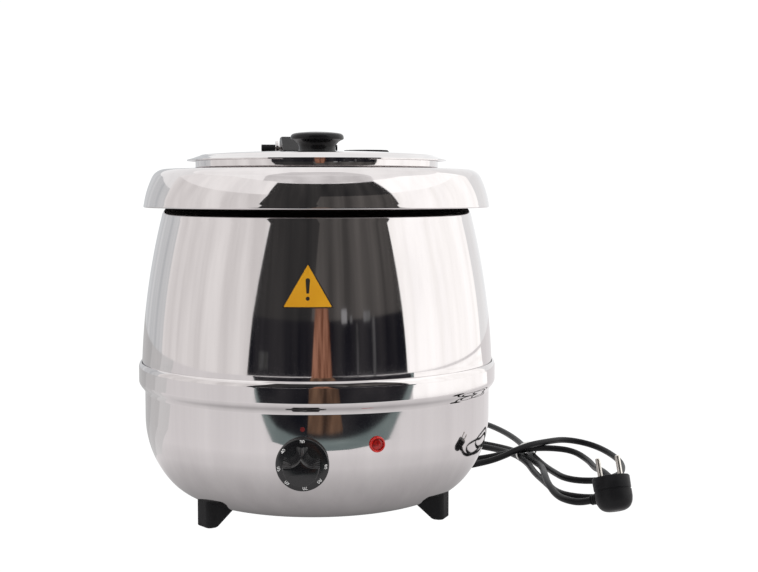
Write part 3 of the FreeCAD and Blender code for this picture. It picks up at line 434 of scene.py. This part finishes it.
def body_shells():
    """The bowl with its raised band, and the barrel with its shoulder and neck."""
    heel = circle_points(100, 72, HEEL_R, -90, HEEL_TURN, 24)
    side = circle_points(BOWL_R - BOWL_SIDE_R, BOWL_TOP_Z, BOWL_SIDE_R, HEEL_TURN, 0, 32)[1:]
    wall = [(BOWL_R, 93.4), (BOWL_R, 104), (BOWL_R, 116.7), (BOWL_R, 117)]
    bead = arc3((164.4, 117), (165.5, 119.65), (167.2, 122), 8)
    bead += arc3((167.2, 122), (168.9, 124.35), (170, 127), 8)
    band = [(170, 127.3), (170, 133), (170, 139.2), (170, 139.5)]
    lip = arc3((170, 139.5), (169.5, 142.9), (168, 145.5), 8)
    outer = [(74, 15), (88, 15), *heel, *side, *wall, *bead, *band, *lip]
    piece("bowl_shell", *spin(sheet(outer, SHEET), ROUND), "polished_steel",
          replaces=("lower_shell",), sharp=50)

    shoulder = arc3(BARREL_SHOULDER, (145.6, 286.4), (142.2, 290.4), 12)
    neck = arc3((136, 292.2), (134.6, 292.8), (134, 294.2), 5)
    outer = [(166.8, 125), (166.8, 138), *barrel_run(), *shoulder, (136, 292.2), *neck, (134, 308),
             (134, 323.45), (125, 323.45)]
    piece("barrel_shell", *spin(sheet(outer, SHEET), ROUND), "polished_steel",
          replaces=("upper_shell",), sharp=50)


def pans():
    """The water well and the soup pot that hangs in it."""
    well = [(131, 324.45), (124, 324.45), *arc3((124, 324.45), (122.59, 323.86), (122, 322.45), 5),
            (122, 200), (122, 69), *arc3((122, 69), (119.07, 61.93), (112, 59), 10), (0, 59)]
    inner = [(0, 60), (112, 60), *arc3((112, 60), (118.36, 62.64), (121, 69), 10), (121, 322),
             (122.3, 323.45), (131, 323.45)]
    piece("well_pan", *spin(well + inner, 128), "plain_steel", replaces=("water_well",), sharp=40)

    pot = [(130, 325.45), (115, 325.45), *arc3((115, 325.45), (113.59, 324.86), (113, 323.45), 5),
           (113, 200), (113, 87), *arc3((113, 87), (109.49, 78.51), (101, 75), 10), (0, 75)]
    inner = [(0, 76), (101, 76), *arc3((101, 76), (108.78, 79.22), (112, 87), 10), (112, 323),
             (113.3, 324.45), (130, 324.45)]
    piece("pot_pan", *spin(pot + inner, 128), "plain_steel", "pot", ("soup_pot",), sharp=40)


def top_ring():
    """The loose ring, and thin near-black sheets of painted shade in the gap that it covers."""
    hem = circle_points(162.8, 291.4, 1.3, 150, 372, 14)
    skirt = arc3((163.9, 291.4), (160.6, 306.5), (155.4, 319.2), 26)[1:]
    curl = arc3((155.4, 319.2), (151.8, 323.2), (143.6, 326.0), 16)
    root = arc3((116.7, 327.0), (115.64, 327.5), (115.2, 328.5), 5)
    outer = [*skirt, *curl, (130, 326.5), (116.7, 327.0), *root, (115.2, 332), (115.2, 336.1)]
    inner = offset(outer, SHEET)[::-1]
    piece("ring_shell", *spin([*hem, *outer, *inner], ROUND), "polished_steel", "ring",
          ("top_ring",), sharp=50)
    # thin dark sheets inside the ring's skirt and over the neck: painted shade for the gap under the ring
    run = [*skirt[1:], *curl]
    shade_sheet = offset(run, 1.02) + offset(run, 1.2)[::-1]
    piece("ring_shade_sheet", *spin(shade_sheet, 160), "polished_steel", "ring", sharp=50, material="painted_shade_steel")
    shade_sheet = [(134.03, 295), (134.2, 295), (134.2, 323.2), (134.03, 323.2)]
    piece("neck_shade_sheet", *spin(shade_sheet, 160), "polished_steel", sharp=50, material="painted_shade_steel")


def lid():
    """The domed lid, with the ladle notch cut out of its edge."""
    top = smooth_run([(123.2, 334.8), (118.0, 336.3), (112.0, 338.3), (104.0, 340.0), (60.0, 342.3),
                      (2.6, 343.28)], 6)
    under = [(r, z - SHEET) for r, z in top]
    plate = piece("lid_plate", *spin([*top, *under[::-1]], ROUND), "polished_steel", "lid",
                  ("lid",), sharp=50)
    a = math.radians(NOTCH_AZIMUTH)
    way = Vector((math.sin(a), -math.cos(a), 0))
    side = Vector((way.y, -way.x, 0))
    outline = [way * NOTCH_CENTRE_R + (side * math.cos(t) - way * math.sin(t)) * NOTCH_R
               for t in (math.pi * i / 32 for i in range(33))]
    outline += [way * 150 - side * NOTCH_R, way * 150 + side * NOTCH_R]
    count = len(outline)
    verts = [v + Vector((0, 0, z)) for z in (320, 360) for v in outline]
    faces = [list(range(count)), list(range(count, 2 * count))]
    faces += [[i, (i + 1) % count, count + (i + 1) % count, count + i] for i in range(count)]
    cutter = piece("lid_cutter", verts, faces, "polished_steel", "lid")
    cut = plate.modifiers.new("notch", "BOOLEAN")
    cut.operation = "DIFFERENCE"
    cut.object = cutter
    bpy.context.view_layer.update()
    result = bpy.data.meshes.new_from_object(plate.evaluated_get(bpy.context.evaluated_depsgraph_get()))
    plate.modifiers.clear()
    plate.data = result
    bpy.data.objects.remove(cutter)


def knob():
    """Turned knob on the lid, waisted under its rim."""
    under = smooth_run([(18.3, 343.4), (17.5, 345.6), (17.8, 348.6), (19.4, 351.2), (21.8, 353.2),
                        (24.4, 354.3)], 5)
    rim = smooth_run([(24.4, 354.3), (25.3, 355.2), (25.4, 356.6), (24.9, 358.3), (23.6, 359.6)], 4)[1:]
    top = smooth_run([(23.6, 359.6), (20.5, 360.5), (12.5, 361.35), (4, 361.8), (0, 361.85)], 4)[1:]
    piece("knob_body", *spin([(0, 343.4), *under, *rim, *top], 96, loop=False), "knob_black", "lid",
          ("lid_knob",), sharp=40)


body_shells()
pans()
top_ring()
lid()
knob()


# ---- dial and lamp ----
def outline_layers(name, layers, slot, body, replaces, at, sharp=38.0):
    """A piece lofted through outlines of equal count, each a list of (x, y) and its height."""
    verts, faces = [], []
    count = len(layers[0][0])
    for outline, z in layers:
        verts += [(x, y, z) for x, y in outline]
    for k in range(len(layers) - 1):
        a = k * count
        for i in range(count):
            j = (i + 1) % count
            faces.append([a + i, a + j, a + count + j, a + count + i])
    faces.append(list(range(count))[::-1])
    faces.append(list(range(len(verts) - count, len(verts))))
    return piece(name, verts, faces, slot, body, replaces, sharp, at)


def grip_outline(radius, scoop, reach=17.0, spread=42.0, count=180):
    """Round grip seen from the front, with two finger scoops that leave a peak at the top."""
    out = []
    for i in range(count):
        angle = 2 * math.pi * i / count
        r = radius
        for side in (-1, 1):
            turn = angle - math.radians(90 + side * spread)
            along = reach * math.cos(turn)
            inside = along * along - reach * reach + scoop * scoop
            if inside > 0 and along > 0:
                r = min(r, along - math.sqrt(inside))
        out.append((r * math.cos(angle), r * math.sin(angle)))
    return out


def numeral(text, size, angle, radius, height, at):
    """Raised white numeral on the dial's skirt, its top outward."""
    font = bpy.data.curves.new("print", "FONT")
    font.body = text
    font.size = size
    font.extrude = 0.06
    font.align_x, font.align_y = "CENTER", "CENTER"
    font.resolution_u = 3
    font.offset = 0.06
    holder = bpy.data.objects.new("print", font)
    mesh = bpy.data.meshes.new_from_object(holder)
    bpy.data.objects.remove(holder)
    out = Matrix.Rotation(math.radians(angle), 4, "Z") @ Matrix.Translation((radius, 0, height))
    place = out @ Matrix.Rotation(math.radians(-90), 4, "Z")
    mesh.transform(Matrix.Scale(MM, 4) @ at @ place)
    obj = bpy.data.objects.new("dial_mark_" + str(round(angle) % 360), mesh)
    scene.collection.objects.link(obj)
    return dress(obj, "dial_black", "dial", material="print_white")


def dial():
    """The dial: a skirt that carries the numerals, and a grip with two finger scoops."""
    at = ring_about(DIAL_AZIMUTH, DIAL_Z) @ Matrix.Translation((0, 0, DIAL_BACK))
    depth = DIAL_FRONT - DIAL_BACK
    skirt = [(6, 0.4), (19.5, 2.6), (19.5, 0.1), (22.4, 0.1), (22.8, 0.6), (22.8, 2.4), (22.3, 3.2),
             (21.4, 3.7), (17.6, 4.25), (16.2, 4.4), (0, 4.4), (0, 0.4)]
    piece("dial_skirt", *spin(skirt, 120, loop=False), "dial_black", "dial", ("dial",), 40, at)
    layers = []
    for share, radius, scoop in (
            (0.0, 16.4, 6.6), (0.12, 16.3, 7.6), (0.3, 16.1, 8.9), (0.5, 15.9, 10.1), (0.7, 15.7, 11.1),
            (0.88, 15.5, 12.0), (0.96, 15.2, 12.5), (0.99, 14.8, 12.8), (1.0, 14.3, 13.1)):
        layers.append((grip_outline(radius, scoop), 4.2 + (depth - 4.3) * share))
    outline_layers("dial_grip", layers, "dial_black", "dial", (), at, 42)
    numerals = (("30", 90), ("40", 144), ("50", 190), ("60", 230), ("70", 277), ("80", 317), ("90", 357))
    for text, angle in numerals:
        numeral(text, 4.4, angle, 19.6, 4.0, at)


def lamp():
    """The indicator lamp: a raised rim, and the darker dome inside it."""
    at = ring_about(LAMP_AZIMUTH, LAMP_Z) @ Matrix.Translation((0, 0, LAMP_BACK))
    rim = [(0, -2), (5.6, -2), (5.6, 3.0), (6.9, 3.0), (7.0, 4.6), (6.6, 5.7), (5.9, 6.1), (5.3, 5.7),
           (5.0, 4.9), (5.0, 4.0), (0, 4.0)]
    dome = [(5.2 * math.cos(t), 4.5 + 1.65 * math.sin(t)) for t in (math.pi / 2 * i / 8 for i in range(9))]
    piece("lamp_rim", *spin(rim, 64, loop=False), "lamp_red", replaces=("lamp_lens",), sharp=46, at=at)
    piece("lamp_dome", *spin([(0, 4.2), *dome[:-1], (0, 6.15)], 64, loop=False), "lamp_red",
          material="lamp_deep", sharp=46, at=at)


dial()
lamp()


# ---- label ----
def barrel_radius(z):
    """Outside radius of the upper shell at a height."""
    run = barrel_run()
    for (r0, z0), (r1, z1) in zip(run, run[1:]):
        if z <= z1:
            return r0 + (r1 - r0) * (z - z0) / (z1 - z0)
    return run[-1][0]


def label_layer(name, outline, low, high, material, replaces=()):
    """Thin printed layer that lies on the barrel; outline is (across, height) in millimetres."""
    bm = bmesh.new()
    face = bm.faces.new([bm.verts.new((x, 0, z)) for x, z in outline])
    bmesh.ops.triangulate(bm, faces=[face])
    for _ in range(5):
        long_edges = [e for e in bm.edges if e.calc_length() > 4.0]
        if long_edges:
            bmesh.ops.subdivide_edges(bm, edges=long_edges, cuts=1)
            bmesh.ops.triangulate(bm, faces=bm.faces)
    bmesh.ops.recalc_face_normals(bm, faces=bm.faces)
    flat = [tuple(v.co) for v in bm.verts]
    faces = [[v.index for v in f.verts] for f in bm.faces]
    rim = [[v.index for v in e.verts] for e in bm.edges if len(e.link_faces) == 1]
    bm.free()
    verts = []
    for lift in (low, high):
        for x, _, z in flat:
            r = barrel_radius(z) + lift
            a = math.radians(LABEL_AZIMUTH) + x / r
            verts.append((r * math.sin(a), -r * math.cos(a), z))
    count = len(flat)
    solid = faces + [[i + count for i in f][::-1] for f in faces]
    solid += [[a, b, b + count, a + count] for a, b in rim]
    return piece(name, verts, solid, "label_yellow", replaces=replaces, sharp=50, material=material)


def triangle(inset, corner, count=6):
    """Rounded triangle of the label, moved in from its edge."""
    tall, half, low = LABEL_TALL, LABEL_HALF, LABEL_LOW_Z
    edge = math.hypot(tall, half)
    inner = half * tall / (half + edge)
    scale = (inner - inset - corner) / inner
    tips = [(-half, 0), (half, 0), (0, tall)]
    out = []
    for i, (x, z) in enumerate(tips):
        cx, cz = x * scale, inner + (z - inner) * scale
        before, after = tips[i - 1], tips[(i + 1) % 3]
        a0 = math.atan2(z - before[1], x - before[0]) - math.pi / 2
        a1 = math.atan2(after[1] - z, after[0] - x) - math.pi / 2
        turn = (a1 - a0) % (2 * math.pi)
        angles = [a0 + turn * k / count for k in range(count + 1)]
        out += [(cx + corner * math.cos(t), low + cz + corner * math.sin(t)) for t in angles]
    return out


def label():
    """Warning label: a dark border, a yellow field and a plain exclamation mark."""
    label_layer("label_border", triangle(0.1, 0.9), 0.03, 0.14, "label_black", ("warning_label",))
    label_layer("label_field", triangle(1.15, 0.5), 0.1, 0.2, "label_yellow")
    bar = [(-1.1, 219.5), (1.1, 219.5), (1.9, 230.5), (1.5, 231.8), (0, 232.4), (-1.5, 231.8),
           (-1.9, 230.5)]
    label_layer("label_bar", bar, 0.16, 0.26, "label_black")
    dot = [(1.7 * math.cos(t), 215.2 + 1.7 * math.sin(t))
           for t in (2 * math.pi * i / 20 for i in range(20))]
    label_layer("label_dot", dot, 0.16, 0.26, "label_black")


label()


# ---- strain relief ----
def strain_relief():
    """Ribbed sleeve, tapered towards the cord, where the cord leaves the bowl at the back."""
    at = ring_about(180, GLAND_Z)
    ribs = []
    for i in range(5):
        z = 168.4 + 2.7 * i
        r = 6.5 - 0.24 * i
        ribs += [(r, z), (r, z + 1.5), (r - 0.9, z + 1.7), (r - 0.9, z + 2.6)]
    profile = [(3.6, 158), (5.8, 158), (5.8, 161.4), (10.4, 161.4), (10.5, 164.6), (9.6, 165.8),
               (7.0, 166.2), *ribs, (4.9, 182.2), (4.7, 183.3), (3.6, 183.4)]
    piece("cord_sleeve", *spin(profile, 48), "black_plastic", replaces=("cable_gland",), sharp=40, at=at)


strain_relief()


# ---- studio: floor, light and what the polished steel reflects ----
def stage_card(name, verts, faces, material, seen=False):
    mesh = bpy.data.meshes.new(name)
    mesh.from_pydata(verts, [], faces)
    mesh.materials.append(material)
    obj = bpy.data.objects.new(name, mesh)
    scene.collection.objects.link(obj)
    obj.visible_camera = seen
    obj.visible_shadow = seen
    return obj


def glow(name, dim, bright, strength, scale, stretch, start=0.35, end=0.65):
    """Emission with soft uneven brightness, for the cards."""
    material = bpy.data.materials.new(name)
    material.use_nodes = True
    tree = material.node_tree
    tree.nodes.clear()
    coords = tree.nodes.new("ShaderNodeTexCoord")
    mapping = tree.nodes.new("ShaderNodeMapping")
    mapping.inputs["Scale"].default_value = stretch
    noise = tree.nodes.new("ShaderNodeTexNoise")
    noise.inputs["Scale"].default_value = scale
    noise.inputs["Detail"].default_value = 3.0
    ramp = tree.nodes.new("ShaderNodeValToRGB")
    ramp.color_ramp.elements[0].position, ramp.color_ramp.elements[1].position = start, end
    ramp.color_ramp.elements[0].color = (*dim, 1)
    ramp.color_ramp.elements[1].color = (*bright, 1)
    emission = tree.nodes.new("ShaderNodeEmission")
    emission.inputs["Strength"].default_value = strength
    output = tree.nodes.new("ShaderNodeOutputMaterial")
    for a, b in (
            (coords.outputs["Object"], mapping.inputs["Vector"]),
            (mapping.outputs["Vector"], noise.inputs["Vector"]),
            (noise.outputs["Fac"], ramp.inputs["Fac"]),
            (ramp.outputs["Color"], emission.inputs["Color"]),
            (emission.outputs["Emission"], output.inputs["Surface"])):
        tree.links.new(a, b)
    return material


def radial_glow(name, stops, strength):
    """Emission that depends on the distance from the kettle's axis; stops are (metres, grey)."""
    material = glow(name, (1, 1, 1), (1, 1, 1), strength, 1.0, (1, 1, 1))
    tree = material.node_tree
    ramp = next(node for node in tree.nodes if node.type == "VALTORGB")
    length = tree.nodes.new("ShaderNodeVectorMath")
    length.operation = "LENGTH"
    coords = next(node for node in tree.nodes if node.type == "TEX_COORD")
    tree.links.new(coords.outputs["Object"], length.inputs[0])
    tree.links.new(length.outputs["Value"], ramp.inputs["Fac"])
    elements = ramp.color_ramp.elements
    for i, (place, grey) in enumerate(stops):
        element = elements[i] if i < 2 else elements.new(place)
        element.position = place
        element.color = (grey, grey * 0.97, grey * 0.975, 1)
    return material


VIEW_AZIMUTH = -6.0        # where the camera stands, counted like the other azimuths


def around(azimuth, radius, z):
    a = math.radians(VIEW_AZIMUTH + azimuth)
    return (radius * math.sin(a), -radius * math.cos(a), z)


def curved_card(name, radius, low_edge, high_edge, low, high, material, rows=10, columns=40):
    """Upright card on a circle about the kettle. Each edge is (azimuth at the bottom, at the top)."""
    verts, faces = [], []
    for k in range(rows + 1):
        for i in range(columns + 1):
            left = low_edge[0] + (low_edge[1] - low_edge[0]) * k / rows
            right = high_edge[0] + (high_edge[1] - high_edge[0]) * k / rows
            verts.append(around(left + (right - left) * i / columns, radius, low + (high - low) * k / rows))
    for k in range(rows):
        for i in range(columns):
            a = k * (columns + 1) + i
            faces.append([a, a + 1, a + columns + 2, a + columns + 1])
    return stage_card(name, verts, faces, material)


def floor_patch(name, outline, z, material):
    """Flat card on the floor that only mirrors see; outline is (azimuth, metres from the axis)."""
    verts = [around(azimuth, radius, z) for azimuth, radius in outline]
    card = stage_card(name, verts, [list(range(len(verts)))], material)
    card.visible_diffuse = False
    return card


def arc_patch(name, turns, near, far, z, material):
    """Floor patch between two radii, over a range of azimuths."""
    outline = [(azimuth, near) for azimuth in turns] + [(azimuth, far) for azimuth in reversed(turns)]
    return floor_patch(name, outline, z, material)


NO_STRETCH = (1, 1, 1)
UPRIGHT = (1.6, 1.6, 0.12)
DARK = glow("dark_room", (0.010, 0.010, 0.014), (0.040, 0.038, 0.041), 1.0, 1.6, UPRIGHT)
RIGHT_CLOTH = glow(
    "right_cloth", (0.90, 0.885, 0.865), (1.0, 0.99, 0.98), 1.46, 1.2, (2.2, 2.2, 0.18), 0.30, 0.58)


def table():
    """White table top that the camera sees, and what mirrors see in its place."""
    size = 14.0
    white = glow("white_floor", (1, 1, 1), (1, 1, 1), 1.05, 1.0, NO_STRETCH)
    corners = [(-size, -size, 0), (size, -size, 0), (size, size, 0), (-size, size, 0)]
    floor = stage_card("floor", corners, [[0, 1, 2, 3]], white, seen=True)
    floor.visible_glossy = False
    # the floor that only mirrors see darkens towards the kettle's axis: a painted shadow under the kettle
    stops = ((0.0, 0.10), (0.10, 0.22), (0.16, 0.52), (0.24, 0.84), (0.36, 0.97), (0.7, 0.96), (1.0, 0.94))
    paper = radial_glow("paper_painted_shadow_look", stops, 0.92)
    floor_patch("paper", [(azimuth, 6.0) for azimuth in range(0, 360, 10)], 0.001, paper)
    fringe = glow("fringe_look", (0.18, 0.225, 0.225), (0.24, 0.29, 0.285), 1.0, 3.0, NO_STRETCH)
    outline = [(-40, 2.4), (-36, 1.02), (-32, 0.82), (-26, 0.66), (-18, 0.52), (-8, 0.43), (4, 0.395),
               (16, 0.41), (28, 0.48), (38, 0.61), (47, 0.79), (54, 0.96), (59, 1.2), (61, 2.4), (10, 2.6)]
    floor_patch("floor_fringe", outline, 0.002, fringe)
    outline = [(-40, 2.4), (-35, 1.06), (-31, 0.88), (-23, 0.74), (-8, 0.67), (4, 0.66), (16, 0.665),
               (28, 0.70), (38, 0.78), (47, 0.90), (54, 1.10), (58, 1.5), (58, 2.4), (10, 2.6)]
    floor_patch("floor_dark", outline, 0.003, DARK)
    warm = glow("warm_floor_look", (0.050, 0.030, 0.022), (0.26, 0.15, 0.095), 1.0, 3.0, (3, 0.5, 1))
    floor_patch("floor_warm", [(-6, 0.70), (4, 0.69), (14, 0.71), (9, 2.3), (-4, 2.3)], 0.004, warm)
    for name, start, grey, lift in (
            ("a", -102, 0.84, 0.0012), ("b", -116, 0.72, 0.0014), ("c", -132, 0.62, 0.0016)):
        tone = glow("floor_left_look_" + name, (grey * 0.95,) * 3, (grey, grey * 0.99, grey * 0.99),
                    0.92, 1.5, NO_STRETCH)
        arc_patch("floor_left_" + name, range(start, -181, -2), 0.26, 6.0, lift, tone)
    arc_patch("floor_right", range(56, 131, 2), 0.95, 2.35, 0.0015, RIGHT_CLOTH)


def walls():
    """The dark room behind the camera between two bright cloths, in three bands of height."""
    dim = glow("dim_room", (0.024, 0.024, 0.025), (0.060, 0.057, 0.056), 1.0, 1.6, UPRIGHT)
    dim_right = glow("dim_room_right", (0.066, 0.062, 0.060), (0.135, 0.126, 0.120), 1.0, 1.6, UPRIGHT)
    left_cloth = glow(
        "left_cloth", (0.79, 0.762, 0.755), (0.98, 0.955, 0.945), 1.04, 1.1, (2.0, 2.0, 0.22), 0.34, 0.64)
    high_left = glow(
        "high_left", (0.92, 0.90, 0.895), (1.0, 0.98, 0.97), 1.16, 1.2, (2.0, 2.0, 0.2), 0.36, 0.60)
    high_right = glow(
        "high_right", (0.94, 0.93, 0.92), (1.0, 1.0, 0.99), 1.56, 1.2, (2.0, 2.0, 0.2), 0.36, 0.60)
    # name, height from and to, room's edges at the bottom and at the top, looks of the four cards
    bands = (("low", 0.02, 0.5, (-43.5, 56.5), (-41, 55), DARK, DARK, left_cloth, RIGHT_CLOTH),
             ("middle", 0.5, 1.45, (-41, 55), (-33, 50.5), dim, dim_right, left_cloth, RIGHT_CLOTH),
             ("high", 1.45, 2.4, (-33, 50.5), (-30, 43), dim, dim, high_left, high_right))
    for name, low, high, foot, top, shadow, shadow_right, left, right in bands:
        curved_card("wall_left_" + name, 2.4, (foot[0], top[0]), (-4, 2), low, high, shadow)
        curved_card("wall_right_" + name, 2.4, (-4, 2), (foot[1], top[1]), low, high, shadow_right)
        curved_card("soft_left_" + name, 2.3, (-116, -116), (foot[0], top[0]), low, high, left)
        curved_card("soft_right_" + name, 2.3, (foot[1], top[1]), (130, 130), low, high, right)
    shade = glow("side_shade", (0.58, 0.60, 0.62), (0.78, 0.79, 0.80), 1.0, 1.5, (2.2, 2.2, 0.10))
    curved_card("shade_left", 2.3, (-180, -180), (-116, -116), 0.02, 1.0, shade)
    pale_shade = glow("pale_shade", (0.98, 0.99, 1.0), (1.0, 1.0, 1.0), 1.0, 1.5, (2.2, 2.2, 0.10))
    curved_card("shade_right", 2.3, (130, 130), (180, 180), 0.02, 1.0, pale_shade)


def room_details():
    """Things in the dark room: a copper-coloured strip, pale things on a shelf and faint streaks."""
    copper = glow("copper_look", (0.12, 0.045, 0.025), (0.42, 0.20, 0.13), 1.0, 7.0, (3, 3, 0.4))
    curved_card("warm_strip", 2.0, (-4, -1), (8.5, 6), 0.0, 0.62, copper, 2, 6)
    for name, azimuth, half, low, high, grey in (
            ("shelf_pale_a", 16.2, 1.7, 0.43, 0.53, 0.42), ("shelf_pale_b", 20.5, 0.8, 0.43, 0.48, 0.22),
            ("shelf_pale_c", 30.5, 2.2, 0.43, 0.50, 0.24), ("streak_a", 24.0, 0.5, 0.0, 0.42, 0.12),
            ("streak_b", 34.5, 0.8, 0.0, 0.45, 0.14), ("window_pale", -33.0, 3.0, 0.10, 0.22, 0.10)):
        pale = glow(name + "_look", (grey * 0.5,) * 3, (grey, grey, grey * 1.04), 1.0, 6.0, (1, 1, 0.3))
        left, right = azimuth - half, azimuth + half
        curved_card(name, 2.05, (left, left), (right, right), low, high, pale, 1, 3)


def ceiling():
    """Bright card overhead, with a dimmer one in front of it."""
    bright = glow("overhead_look", (0.93, 0.915, 0.91), (1.0, 0.99, 0.985), 1.22, 0.8, NO_STRETCH)
    rim = [around(azimuth, 2.9, 2.75) for azimuth in range(0, 360, 10)]
    stage_card("overhead", rim, [list(range(36))], bright)
    dimmer = glow("overhead_dim_look", (0.76, 0.74, 0.74), (0.94, 0.92, 0.92), 1.0, 1.5, NO_STRETCH)
    corners = ((-42, 2.9), (0, 2.9), (44, 2.9), (60, 0.5), (-58, 0.5))
    rim = [around(azimuth, radius, 2.74) for azimuth, radius in corners]
    stage_card("overhead_dim", rim, [[0, 1, 2, 3, 4]], dimmer)


def lights():
    """White surroundings and two soft lights, which mirrors don't see."""
    world = bpy.data.worlds.new("studio")
    world.use_nodes = True
    background = world.node_tree.nodes["Background"]
    background.inputs["Color"].default_value = (1.0, 1.0, 1.0, 1)
    background.inputs["Strength"].default_value = 1.05
    scene.world = world
    aim = Vector((0, 0, 0.15))
    for name, place, power in (("key", (-1.6, -1.2, 2.4), 24.0), ("fill", (1.9, -0.6, 2.2), 20.0)):
        lamp_data = bpy.data.lights.new(name, "AREA")
        lamp_data.energy = power
        lamp_data.size = 1.6
        light = bpy.data.objects.new(name, lamp_data)
        light.location = place
        light.rotation_euler = (aim - Vector(place)).to_track_quat("-Z", "Y").to_euler()
        light.visible_camera = False
        light.visible_glossy = False
        scene.collection.objects.link(light)


table()
walls()
room_details()
ceiling()
lights()
